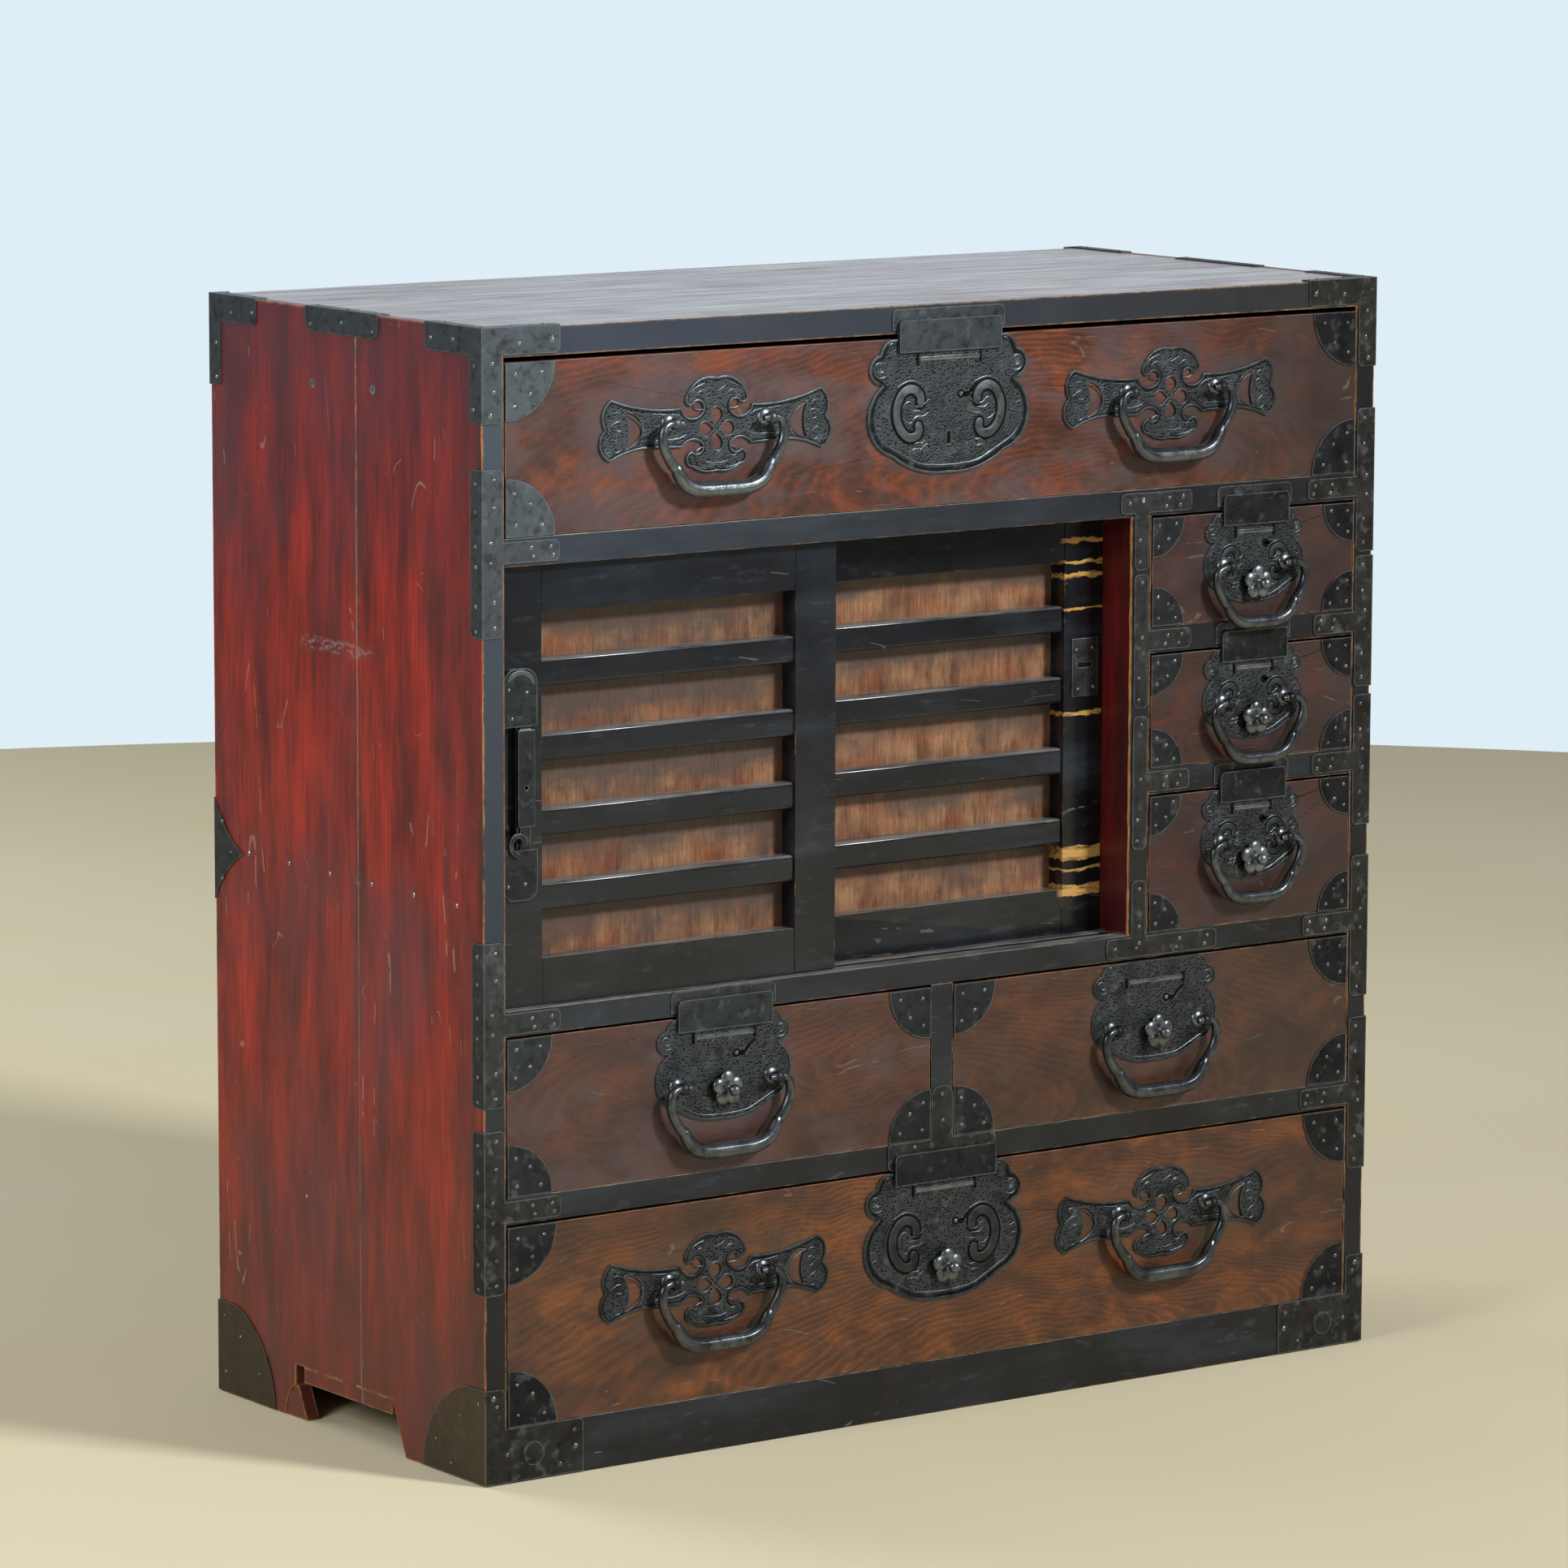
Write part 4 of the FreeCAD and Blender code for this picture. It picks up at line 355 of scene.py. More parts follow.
def black_lacquer(name, wear, gloss, bloom_and_sheen_share, strips=()):
    """Black urushi on frame and doors: a blue-grey skin with painted sheen at the upper left, dust on what
    lies level, chips, and edges rubbed to the wood. Strips are levels and half heights where a sliding door
    has rubbed a stile to bright wood."""
    material, tree, place = new_material(name)
    # Bloom with painted sheen towards the upper left, made uneven
    bloom_and_sheen = add(tree, "Math", {0: bloom_and_painted_sheen(tree, place), 1: bloom_and_sheen_share}, operation="MULTIPLY")
    uneven = patches(tree, place, 30, 0.3, 0.7, stretch=(4, 1, 1), detail=6, seed=33)
    uneven = add(tree, "MapRange", {"Value": uneven, "To Min": 0.6, "To Max": 1.6})
    bloom_and_sheen = add(tree, "Math", {0: bloom_and_sheen, 1: uneven}, operation="MULTIPLY", use_clamp=True)
    base = laid_over(tree, old_black(tree, place), bloom_and_sheen, 1, "4c5664")
    haze = patches(tree, place, 36, 0.5, 0.8, stretch=(5, 1, 1), detail=6, seed=2)
    base = laid_over(tree, base, haze, 0.26, "505c6c")
    smears = patches(tree, place, 9, 0.6, 0.72, stretch=(3, 1, 1), detail=5, seed=19)
    base = laid_over(tree, base, smears, 0.2, "5c6068")
    marks = scratches(tree, place, 40, 0.004, (6, 1, 1), 5, 0.6)
    dents = chips(tree, place, 12, 0.9, 0.2, seed=2)
    pale = add(tree, "Math", {0: marks, 1: dents}, operation="MAXIMUM")
    base = laid_over(tree, base, pale, 0.4, "86878a")
    upward = add(tree, "SeparateXYZ", {"Vector": add(tree, "NewGeometry", {}).node.outputs["Normal"]})
    lying = add(tree, "MapRange", {"Value": upward.node.outputs["Z"], "From Min": 0.3, "From Max": 0.8})
    dust = patches(tree, place, 12, 0.28, 0.6, stretch=(5, 1, 1), detail=6, seed=13)
    dust = add(tree, "Math", {0: lying, 1: dust}, operation="MULTIPLY")
    base = laid_over(tree, base, dust, 0.62, "a09e99")
    edges = worn_edges(tree, place, 1.3, 26, wear, wear + 0.1)
    base = add(tree, "Mix", {"Factor": edges, "A": base, "B": bare_wood(tree, place)}, data_type="RGBA")
    if strips:
        parts = add(tree, "SeparateXYZ", {"Vector": place})
        across, level = parts.node.outputs["X"], parts.node.outputs["Z"]
        sway = patches(tree, place, 9, 0.3, 0.7, stretch=(2, 1, 1), detail=6, seed=15)
        ragged = add(tree, "Math", {0: sway, 1: 4 * MM, 2: level}, operation="MULTIPLY_ADD")
        bared = None
        for middle, half in strips:
            stripe = band(tree, ragged, middle + 2, half, 0.7)
            bared = add(tree, "Math", {0: stripe, 1: bared}, operation="MAXIMUM") if bared else stripe
        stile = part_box("right_door_frame")[1][0] - STILE_WIDTH * MM
        on_stile = add(tree, "MapRange", {
            "Value": across, "From Min": stile - 4 * MM, "From Max": stile + 3 * MM,
        })
        bared = add(tree, "Math", {0: bared, 1: on_stile}, operation="MULTIPLY")
        scraped = patches(tree, place, 4, 0.32, 0.5, stretch=(6, 1, 1), detail=6, seed=16)
        bared = add(tree, "Math", {0: bared, 1: scraped}, operation="MULTIPLY")
        base = laid_over(tree, base, bared, 1, "c89c5a")
    shine = patches(tree, place, 45, 0.3, 0.7, seed=4)
    rough = add(tree, "MapRange", {"Value": shine, "To Min": gloss, "To Max": gloss + 0.14})
    bump = add(tree, "Bump", {"Height": haze, "Distance": 0.1 * MM, "Strength": 0.4})
    shader = add(tree, "BsdfPrincipled", {
        "Base Color": base, "Roughness": rough, "Normal": bump, "Coat Weight": 0.12, "Coat Roughness": 0.2,
        "Specular IOR Level": 0.34,
    })
    add(tree, "OutputMaterial", {"Surface": shader})
    return material


def zelkova(name, dark, middle, light, heart, tilt, ring, haze_low, haze, darkening, plates):
    """Zelkova front boards under wiped urushi: flamed, ring-porous arches with dark pores, hazy in patches
    from dust and hands, with haze that grows towards the left as painted sheen and painted shade darkening the
    right. The heart is the place in mm that the rings run round, the tilt leans their axis against the board.
    Dust lies under and round the plates, given as middles and half sizes."""
    material, tree, place = new_material(name)
    bend = patches(tree, place, 150, 0.15, 0.85, stretch=(1.8, 1, 1), detail=3, seed=1)
    sway = patches(tree, place, 60, 0.15, 0.85, stretch=(2.5, 1, 1), detail=3, seed=17)
    wander = add(tree, "CombineXYZ", {"X": sway, "Y": bend, "Z": bend})
    shift = add(tree, "VectorMath", {0: wander, 1: (60 * MM, 26 * MM, 60 * MM)}, operation="MULTIPLY")
    moved_place = add(tree, "VectorMath", {0: place, 1: shift}, operation="ADD")
    centred = add(tree, "Mapping", {
        "Vector": moved_place, "Location": (-heart[0] * MM, -FRONT - heart[2] * MM, -heart[1] * MM),
    })
    lean = (0, math.radians(tilt[0]), math.radians(tilt[1]))
    leaned = add(tree, "Mapping", {"Vector": centred, "Rotation": lean})
    rings = add(tree, "TexWave", {
        "Vector": leaned, "Scale": math.pi / 10 / (ring * MM), "Distortion": 3.5, "Detail": 5,
        "Detail Scale": 0.35,
    }, wave_type="RINGS", rings_direction="X", wave_profile="SAW")
    dark_wood, middle_wood, light_wood = colour(dark), colour(middle), colour(light)
    tone = add(tree, "ValToRGB", {"Fac": rings}, stops=(
        (0, middle_wood), (0.3, middle_wood), (0.7, light_wood), (0.94, middle_wood), (1, dark_wood),
    ))
    flame = patches(tree, moved_place, 30, 0.34, 0.66, stretch=(1.5, 1, 1), detail=8, seed=14)
    flamed = add(tree, "ValToRGB", {"Fac": flame}, stops=(
        (0, dark_wood), (0.45, middle_wood), (0.8, light_wood), (1, light_wood),
    ))
    where = patches(tree, place, 70, 0.4, 0.6, stretch=(1.6, 1, 1), detail=3, seed=30)
    share = add(tree, "MapRange", {"Value": where, "To Min": 0.45, "To Max": 0.85})
    tone = add(tree, "Mix", {"Factor": share, "A": tone, "B": flamed}, data_type="RGBA")
    broad = patches(tree, place, 90, 0.35, 0.65, stretch=(2, 1, 1), detail=5, seed=11)
    base = laid_over(tree, tone, broad, 0.6, dark)
    pores = patches(tree, moved_place, 1.1, 0.5, 0.64, stretch=(6, 1, 1), detail=3, seed=3)
    early = add(tree, "MapRange", {"Value": rings, "From Min": 0.7, "From Max": 0.0, "To Min": 0.35})
    pored = add(tree, "Math", {0: pores, 1: early}, operation="MULTIPLY")
    pored = add(tree, "Math", {0: pored, 1: 0.5}, operation="MULTIPLY")
    base = laid_over(tree, base, pored, 1, "170d09")
    across = add(tree, "SeparateXYZ", {"Vector": place})
    cloud = patches(tree, place, 34, haze_low, haze_low + 0.2, stretch=(1.7, 1, 1), detail=6, seed=7)
    # Painted sheen: more haze towards the left
    left = add(tree, "MapRange", {
        "Value": across, "From Min": 60 * MM, "From Max": -430 * MM, "To Max": 0.45,
    })
    cloud = add(tree, "Math", {0: cloud, 1: left}, operation="ADD", use_clamp=True)
    base = laid_over(tree, base, cloud, 0.62, haze)
    broken = patches(tree, place, 7, 0.2, 0.7, detail=4, seed=36)
    for x, z, half_width, half_height in plates:
        near = add(tree, "Mapping", {
            "Vector": place, "Scale": (1 / (half_width * MM), 0, 1 / (half_height * MM)),
            "Location": (-x / half_width, 0, -z / half_height),
        })
        near = add(tree, "VectorMath", {0: near}, operation="LENGTH").node.outputs["Value"]
        near = add(tree, "MapRange", {"Value": near, "From Min": 1.1, "From Max": 0.86})
        near = add(tree, "Math", {0: near, 1: broken}, operation="MULTIPLY")
        base = laid_over(tree, base, near, 0.72, haze)
    # Painted shade: darker towards the right
    darkened_part = add(tree, "MapRange", {"Value": across, "From Min": 90 * MM, "From Max": 420 * MM})
    base = laid_over(tree, base, darkened_part, darkening, "2b1f1c")
    marks = scratches(tree, place, 36, 0.006, (5, 1, 1), 8, 0.6)
    base = laid_over(tree, base, marks, 0.25, "a08a7a")
    base = laid_over(tree, base, worn_edges(tree, place, 1.0, 16, 0.42, 0.52), 1, "ac8264")
    shine = patches(tree, place, 50, 0.3, 0.7, seed=4)
    rough = add(tree, "MapRange", {"Value": shine, "To Min": 0.36, "To Max": 0.55})
    bump = add(tree, "Bump", {"Height": pored, "Distance": 0.08 * MM, "Strength": 0.4}, invert=True)
    shader = add(tree, "BsdfPrincipled", {
        "Base Color": base, "Roughness": rough, "Normal": bump, "Coat Weight": 0.15, "Coat Roughness": 0.3,
    })
    add(tree, "OutputMaterial", {"Surface": shader})
    return material


# The bars of a door and their height
BARS = 4
BAR_HEIGHT = 22


def cedar_panel(name, darkening):
    """Old cedar door panels: fine upright grain, orange-tan low in each bay, darker grey-brown towards its
    top.
    """
    material, tree, place = new_material(name)
    level = add(tree, "SeparateXYZ", {"Vector": place}).node.outputs["Z"]
    low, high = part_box("left_door_bars")[0][2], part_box("left_door_bars")[1][2]
    pitch = (high - low - BAR_HEIGHT * MM) / (BARS - 1)
    bay = add(tree, "Math", {0: level, 1: low}, operation="SUBTRACT")
    bay = add(tree, "Math", {0: bay, 1: pitch}, operation="DIVIDE")
    bay = add(tree, "Math", {0: bay, 1: 5}, operation="ADD")
    bay = add(tree, "Math", {0: bay}, operation="FRACT")
    fine = patches(tree, place, 1.6, 0.34, 0.66, stretch=(1, 1, 16), detail=4)
    broad = patches(tree, place, 18, 0.35, 0.65, stretch=(1, 1, 2.4), detail=6, seed=4)
    brown, tan = colour("74482e"), colour("b98a64")
    base = add(tree, "Mix", {"Factor": broad, "A": brown, "B": tan}, data_type="RGBA")
    rusty = patches(tree, place, 22, 0.48, 0.66, stretch=(1.6, 1, 1), detail=7, seed=41)
    base = laid_over(tree, base, rusty, 0.55, "a4552c")
    base = fibred(tree, base, fine, "9a9088", 0.6)
    darkened_part = patches(tree, place, 30, 0.25, 0.8, stretch=(2.4, 1, 1), detail=7, seed=2)
    rising = add(tree, "MapRange", {
        "Value": bay, "From Min": 0.40, "From Max": 1.0, "To Min": darkening - 0.5, "To Max": darkening + 0.5,
    })
    darkened_part = add(tree, "Math", {0: darkened_part, 1: rising}, operation="ADD")
    darkened_part = add(tree, "MapRange", {"Value": darkened_part, "From Min": 0.38, "From Max": 0.92})
    base = laid_over(tree, base, darkened_part, 0.88, "4d423f")
    streaks = patches(tree, place, 2.2, 0.56, 0.68, stretch=(1, 1, 7), detail=3, seed=17)
    base = laid_over(tree, base, streaks, 0.45, "2e221e")
    bump = add(tree, "Bump", {"Height": fine, "Distance": 0.06 * MM, "Strength": 0.4})
    shader = add(tree, "BsdfPrincipled", {"Base Color": base, "Roughness": 0.5, "Normal": bump})
    add(tree, "OutputMaterial", {"Surface": shader})
    return material


def plain_wood(name, dark, light):
    """Planed paulownia left bare: straight fine grain, gone grey-brown with age."""
    material, tree, place = new_material(name)
    fine = patches(tree, place, 2.6, 0.34, 0.66, stretch=(26, 1, 1), detail=4)
    broad = patches(tree, place, 40, 0.35, 0.65, stretch=(8, 1, 1), detail=5, seed=4)
    base = add(tree, "Mix", {"Factor": broad, "A": colour(dark), "B": colour(light)}, data_type="RGBA")
    base = fibred(tree, base, fine, "9a8f84", 0.6)
    bump = add(tree, "Bump", {"Height": fine, "Distance": 0.1 * MM, "Strength": 0.4})
    shader = add(tree, "BsdfPrincipled", {"Base Color": base, "Roughness": 0.72, "Normal": bump})
    add(tree, "OutputMaterial", {"Surface": shader})
    return material


def forged_iron(name, dark, light, pale, rough, worn="8b9498", punched=0, smudge=0.0, rim=0.8):
    """Sheet iron, forged, cut and blackened over charcoal: mottled black-brown, paler and blue-grey at the
    upper left from a bloom and painted sheen, pale where it is rubbed. Its punched ground has round dents, as
    far apart in mm as given."""
    material, tree, place = new_material(name)
    tone = patches(tree, place, 24, 0.35, 0.68, detail=7)
    base = add(tree, "Mix", {"Factor": tone, "A": colour(dark), "B": colour(light)}, data_type="RGBA")
    # Bloom with painted sheen: the pale colour towards the upper left
    base = laid_over(tree, base, bloom_and_painted_sheen(tree, place), 0.9, pale)
    stains = patches(tree, place, 8, 0.5, 0.72, detail=6, seed=4)
    base = laid_over(tree, base, stains, 0.7, "1e1d1d")
    bright = chips(tree, place, 9, 0.8, 0.07, seed=11)
    base = laid_over(tree, base, bright, 0.6, worn)
    hammer = patches(tree, place, 7, 0.3, 0.7, detail=3, seed=7)
    relief = add(tree, "Math", {0: hammer, 1: 0.4}, operation="MULTIPLY")
    if punched:
        cells = add(tree, "TexVoronoi", {"Vector": place, "Scale": 1 / (punched * MM), "Randomness": 0.8})
        dent = add(tree, "MapRange", {"Value": cells, "From Min": 0.2, "From Max": 0.44})
        depth = add(tree, "SeparateXYZ", {"Vector": place}).node.outputs["Y"]
        on_plate = band(tree, depth, FRONT / MM - PLATE, 0.1, 0.05)
        base = laid_over(tree, base, on_plate, 0.5, "141517")
        smooth_share = add(tree, "Math", {0: 1, 1: on_plate}, operation="SUBTRACT")
        dent = add(tree, "Math", {0: dent, 1: smooth_share}, operation="MAXIMUM")
        relief = add(tree, "Math", {0: dent, 1: relief}, operation="ADD")
        ridge = laid_over(tree, base, on_plate, 0.34, "6d747a")
        pits = add(tree, "Mix", {"Factor": dent, "A": colour("070708"), "B": ridge}, data_type="RGBA")
        rubbed = patches(tree, place, 22, 0.5, 0.64, detail=5, seed=13)
        kept = add(tree, "MapRange", {"Value": rubbed, "To Min": 1.0, "To Max": 0.35})
        base = add(tree, "Mix", {"Factor": kept, "A": base, "B": pits}, data_type="RGBA")
    smudges = patches(tree, place, 11, 0.56, 0.72, detail=5, seed=18)
    base = laid_over(tree, base, smudges, smudge, "8a9096")
    # Painted shade and light: iron facing left is painted darker, and painted lighter and browner on the foot
    # brackets
    facing = add(tree, "SeparateXYZ", {"Vector": add(tree, "NewGeometry", {}).node.outputs["Normal"]})
    sideways = add(tree, "Math", {0: facing, 1: -0.5}, operation="LESS_THAN")
    base = laid_over(tree, base, sideways, 0.25, "1c1b1d")
    level = add(tree, "SeparateXYZ", {"Vector": place}).node.outputs["Z"]
    foot = add(tree, "MapRange", {"Value": level, "From Min": 130 * MM, "From Max": 70 * MM})
    foot = add(tree, "Math", {0: foot, 1: sideways}, operation="MULTIPLY")
    base = laid_over(tree, base, foot, 0.6, "685c4c")
    base = laid_over(tree, base, worn_edges(tree, place, rim, 12, 0.26, 0.5), 0.85, worn)
    shine = patches(tree, place, 15, 0.3, 0.7, detail=5, seed=9)
    gloss = add(tree, "MapRange", {"Value": shine, "To Min": rough, "To Max": rough + 0.2})
    bump = add(tree, "Bump", {"Height": relief, "Distance": 0.4 * MM, "Strength": 0.7})
    shader = add(tree, "BsdfPrincipled", {
        "Base Color": base, "Metallic": 0.9, "Roughness": gloss, "Normal": bump,
    })
    add(tree, "OutputMaterial", {"Surface": shader})
    return material


side_lacquer = red_lacquer("urushi_red_side", UPRIGHT, "68120e", "b42c1c", "50303a", 0.46, 0.52, 0.08, 0.9)
top_lacquer = red_lacquer("urushi_red_top", ACROSS, "46231e", "6a4436", "828a88", 0.38, 0.85, 1.0, 0.4)
partition_lacquer = red_lacquer(
    "urushi_red_partition", UPRIGHT, "560c10", "901c1a", "4a2a2e", 0.62, 0.5, 0.2, 0.2,
)
frame_lacquer = black_lacquer("urushi_black_frame", 0.47, 0.3, 0.5)
door_lacquer = black_lacquer("urushi_black_doors", 0.58, 0.14, 0.12)
STILE_WIDTH = 42
STILE_STRIPS = (
    (711, 1.6), (693, 1.2), (682, 1.8), (654, 0.6), (566, 1.6), (449, 5.5), (434, 0.8), (417, 4.2),
)
worn_door_lacquer = black_lacquer("urushi_black_worn_door", 0.56, 0.12, 0.0, STILE_STRIPS)
left_panel_wood = cedar_panel("cedar_darkening_left", 0.42)
right_panel_wood = cedar_panel("cedar_darkening_right", 0.18)
inner_wood = plain_wood("paulownia_bare", "7d6246", "a98b63")
sheet_iron = forged_iron("wrought_iron_sheet", "302e2c", "424140", "616a72", 0.42, smudge=0.4, rim=1.7)
ground_iron = forged_iron(
    "wrought_iron_punched", "202023", "323336", "69747c", 0.40, punched=2.6, smudge=0.3, rim=1.7,
)
chased_iron = forged_iron("wrought_iron_chased", "2f3134", "43474a", "74828a", 0.34, worn="7f888c")
scroll_iron = forged_iron("wrought_iron_scrolls", "36383b", "45484b", "7e848a", 0.42)
# Near-black iron for painted shade: outlines round the scrolls, the ends of the slots and the keyholes
painted_shade_iron = forged_iron("wrought_iron_painted_shade", "0c0c0d", "161718", "1a1d20", 0.55, worn="2c3033")
# Dark iron for a band of painted shade inside the rims of the plates
rim_shade_iron = forged_iron(
    "wrought_iron_painted_rim_shade", "111214", "222427", "2c3136", 0.45, worn="3c4145", smudge=0.3,
)
petal_iron = forged_iron("wrought_iron_petals", "5a5d60", "888d90", "a6b4ba", 0.26, worn="c4ced2")
latch_iron = forged_iron(
    "wrought_iron_latch", "232427", "37383a", "464b50", 0.36, worn="a9b2b6", smudge=0.3, rim=1.2,
)
bar_iron = forged_iron("wrought_iron_rubbed", "5a5d60", "83878a", "9ba5aa", 0.22, worn="d5dcdf")
bail_iron = forged_iron("wrought_iron_worn_bails", "46494d", "6c7074", "7c848a", 0.2, worn="a3acb0")
front_woods = {
    "top_drawer": zelkova(
        "zelkova_top", "2c150d", "5e2e18", "a04a18", (-40, 790, 70), (2, 14), 4.4, 0.44, "5e5054", 0.9,
        ((-229.5, 833, 118, 42), (229.5, 833, 118, 42), (0, 838, 88, 62)),
    ),
    "bottom_drawer": zelkova(
        "zelkova_bottom", "27140a", "5c3114", "8f4e18", (-60, 60, 60), (-3, 15), 4.2, 0.62, "4a3a30", 0.35,
        ((-229.5, 141, 118, 42), (229.5, 141, 118, 42), (0, 152, 88, 62)),
    ),
    "left_half_drawer": zelkova(
        "zelkova_left_half", "281711", "4e2a1d", "6c3a22", (-330, 330, 80), (3, 12), 4, 0.50, "544346", 0.5,
        ((-221.5, 315, 74, 52),),
    ),
    "right_half_drawer": zelkova(
        "zelkova_right_half", "26160e", "4a291b", "663922", (300, 280, 90), (-2, -12), 4, 0.54, "4d3c38", 0.4,
        ((219.5, 315, 74, 52),),
    ),
    "small_drawers": zelkova(
        "zelkova_small", "20120f", "3e1f18", "622818", (260, 560, 80), (2, 10), 3.4, 0.48, "47383b", 0.5,
        ((321, 692, 62, 46), (321, 577, 62, 46), (321, 458, 62, 46)),
    ),
}


# Shapes


def as_mesh(piece):
    """Makes a curve or a placed primitive a mesh with its place in it."""
    bpy.ops.object.select_all(action="DESELECT")
    piece.select_set(True)
    bpy.context.view_layer.objects.active = piece
    bpy.ops.object.convert(target="MESH")
    piece = bpy.context.object
    bpy.ops.object.transform_apply(location=True, rotation=True, scale=True)
    bpy.ops.object.mode_set(mode="EDIT")
    bpy.ops.mesh.select_all(action="SELECT")
    bpy.ops.mesh.remove_doubles(threshold=0.005 * MM)
    bpy.ops.mesh.normals_make_consistent(inside=False)
    bpy.ops.object.mode_set(mode="OBJECT")
    return piece


def merged(parts):
    """The first of the parts with the others joined to it, selected."""
    bpy.ops.object.select_all(action="DESELECT")
    for part in parts:
        part.select_set(True)
    bpy.context.view_layer.objects.active = parts[0]
    bpy.ops.object.join()
    return bpy.context.object


def joined(parts, name, body, replaced=()):
    """One piece of the scene from its parts, riding on a body of the frame."""
    piece = merged(parts)
    bpy.ops.object.shade_smooth_by_angle(angle=math.radians(38))
    piece.name = name
    piece.data.name = name
    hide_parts(*replaced)
    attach(piece, body)
    return piece


def arc(start, middle, end, count=7):
    """Points along the arc through three points, without its start."""
    (ax, az), (bx, bz), (cx, cz) = start, middle, end
    double = 2 * (ax * (bz - cz) + bx * (cz - az) + cx * (az - bz))
    a, b, c = ax * ax + az * az, bx * bx + bz * bz, cx * cx + cz * cz
    x = (a * (bz - cz) + b * (cz - az) + c * (az - bz)) / double
    z = (a * (cx - bx) + b * (ax - cx) + c * (bx - ax)) / double
    radius = math.hypot(ax - x, az - z)
    first = math.atan2(az - z, ax - x)
    turn = (math.atan2(cz - z, cx - x) - first) % math.tau
    if (math.atan2(bz - z, bx - x) - first) % math.tau > turn:
        turn -= math.tau
    angles = [first + turn * (i + 1) / count for i in range(count)]
    return [(x + radius * math.cos(angle), z + radius * math.sin(angle)) for angle in angles]


def half_outline(start, shares, across, up):
    """The right half of an outline in mm from a point on its middle line, through arcs given as shares."""
    points = [start]
    for middle, end in shares:
        points += arc(points[-1], (middle[0] * across, middle[1] * up), (end[0] * across, end[1] * up))
    return points


def whole(half):
    """A closed outline from its right half, which starts and ends on or near the middle line."""
    return half + [(-x, z) for x, z in reversed(half) if x > 0.01]


def inset(outline, distance):
    """The closed outline drawn in by a distance in mm."""
    count = len(outline)
    area = sum(
        outline[i - 1][0] * outline[i][1] - outline[i][0] * outline[i - 1][1] for i in range(count)
    )
    side = 1 if area > 0 else -1
    points = []
    for i, (x, z) in enumerate(outline):
        before, after = outline[i - 1], outline[(i + 1) % count]
        along = Vector((after[0] - before[0], after[1] - before[1])).normalized()
        points.append((x - side * along.y * distance, z + side * along.x * distance))
    return points


def moved(points, x, z, flip=1, size=1):
    """Points of a small shape at their place: flip -1 mirrors them."""
    return [(x + flip * px * size, z + pz * size) for px, pz in points]


def smooth(points, steps=4):
    """A finer line through the points."""
    fine = []
    last = len(points) - 1
    for i in range(last):
        corners = [Vector(points[min(max(k, 0), last)]) for k in (i - 1, i, i + 1, i + 2)]
        for step in range(steps):
            t = step / steps
            p0, p1, p2, p3 = corners
            bend = (p1 * 2 + (p2 - p0) * t + (p0 * 2 - p1 * 5 + p2 * 4 - p3) * t ** 2
                    + (p1 * 3 - p0 - p2 * 3 + p3) * t ** 3) / 2
            fine.append(tuple(bend))
    return fine + [points[-1]]


def ribbon(points, width):
    """The outline of a band of a width along a line, with round ends."""
    line = [Vector(p) for p in smooth(points)]
    left, right = [], []
    for i, point in enumerate(line):
        along = (line[min(i + 1, len(line) - 1)] - line[max(i - 1, 0)]).normalized()
        across = Vector((-along.y, along.x)) * width / 2
        left.append(point + across)
        right.append(point - across)
    ends = []
    for end, near in ((line[-1], line[-2]), (line[0], line[1])):
        out = (end - near).normalized() * width / 2
        across = Vector((-out.y, out.x))
        angles = [math.pi * quarter / 4 for quarter in (1, 2, 3)]
        ends.append([end + across * math.cos(angle) + out * math.sin(angle) for angle in angles])
    return [tuple(p) for p in left + ends[0] + right[::-1] + ends[1]]


def cut_iron(outlines, thickness, back, bevel, material):
    """Flat iron cut to outlines in mm, the inner ones holes, its back at a distance before the boards."""
    curve = bpy.data.curves.new("cut_iron", "CURVE")
    curve.dimensions = "2D"
    curve.fill_mode = "BOTH"
    for outline in outlines:
        spline = curve.splines.new("POLY")
        spline.points.add(len(outline) - 1)
        for point, (x, z) in zip(spline.points, outline):
            point.co = (x * MM, z * MM, 0, 1)
        spline.use_cyclic_u = True
    curve.extrude = (thickness / 2 - bevel) * MM
    curve.bevel_depth = bevel * MM
    curve.bevel_resolution = 1
    curve.offset = -bevel * MM
    curve.materials.append(material)
    piece = bpy.data.objects.new("cut_iron", curve)
    scene.collection.objects.link(piece)
    piece.rotation_euler.x = math.pi / 2
    piece.location.y = FRONT - (back + thickness / 2) * MM
    return as_mesh(piece)


def chased(lines, width, height, back, material):
    """Raised round lines of chased iron, each from its points in mm, drawn out thin at its ends."""
    curve = bpy.data.curves.new("chased_lines", "CURVE")
    curve.dimensions = "3D"
    for line in lines:
        spline = curve.splines.new("NURBS")
        spline.points.add(len(line) - 1)
        for index, (point, (x, z)) in enumerate(zip(spline.points, line)):
            point.co = (x * MM, 0, z * MM, 1)
            point.radius = 0.4 if index in (0, len(line) - 1) else 1
        spline.order_u = 3
        spline.use_endpoint_u = True
        spline.resolution_u = 3
    curve.bevel_depth = width / 2 * MM
    curve.bevel_resolution = 1
    curve.use_fill_caps = True
    curve.materials.append(material)
    piece = bpy.data.objects.new("chased_lines", curve)
    scene.collection.objects.link(piece)
    piece.scale.y = 2 * height / width
    piece.location.y = FRONT - back * MM
    return as_mesh(piece)


def circle(x, z, radius, count=14):
    """Points of a circle, its first one again at its end."""
    angles = [math.tau * i / count for i in range(count + 1)]
    return [(x + radius * math.cos(a), z + radius * math.sin(a)) for a in angles]


def rectangle(left, right, low, high):
    """The corners of an upright rectangle."""
    return [(left, low), (right, low), (right, high), (left, high)]


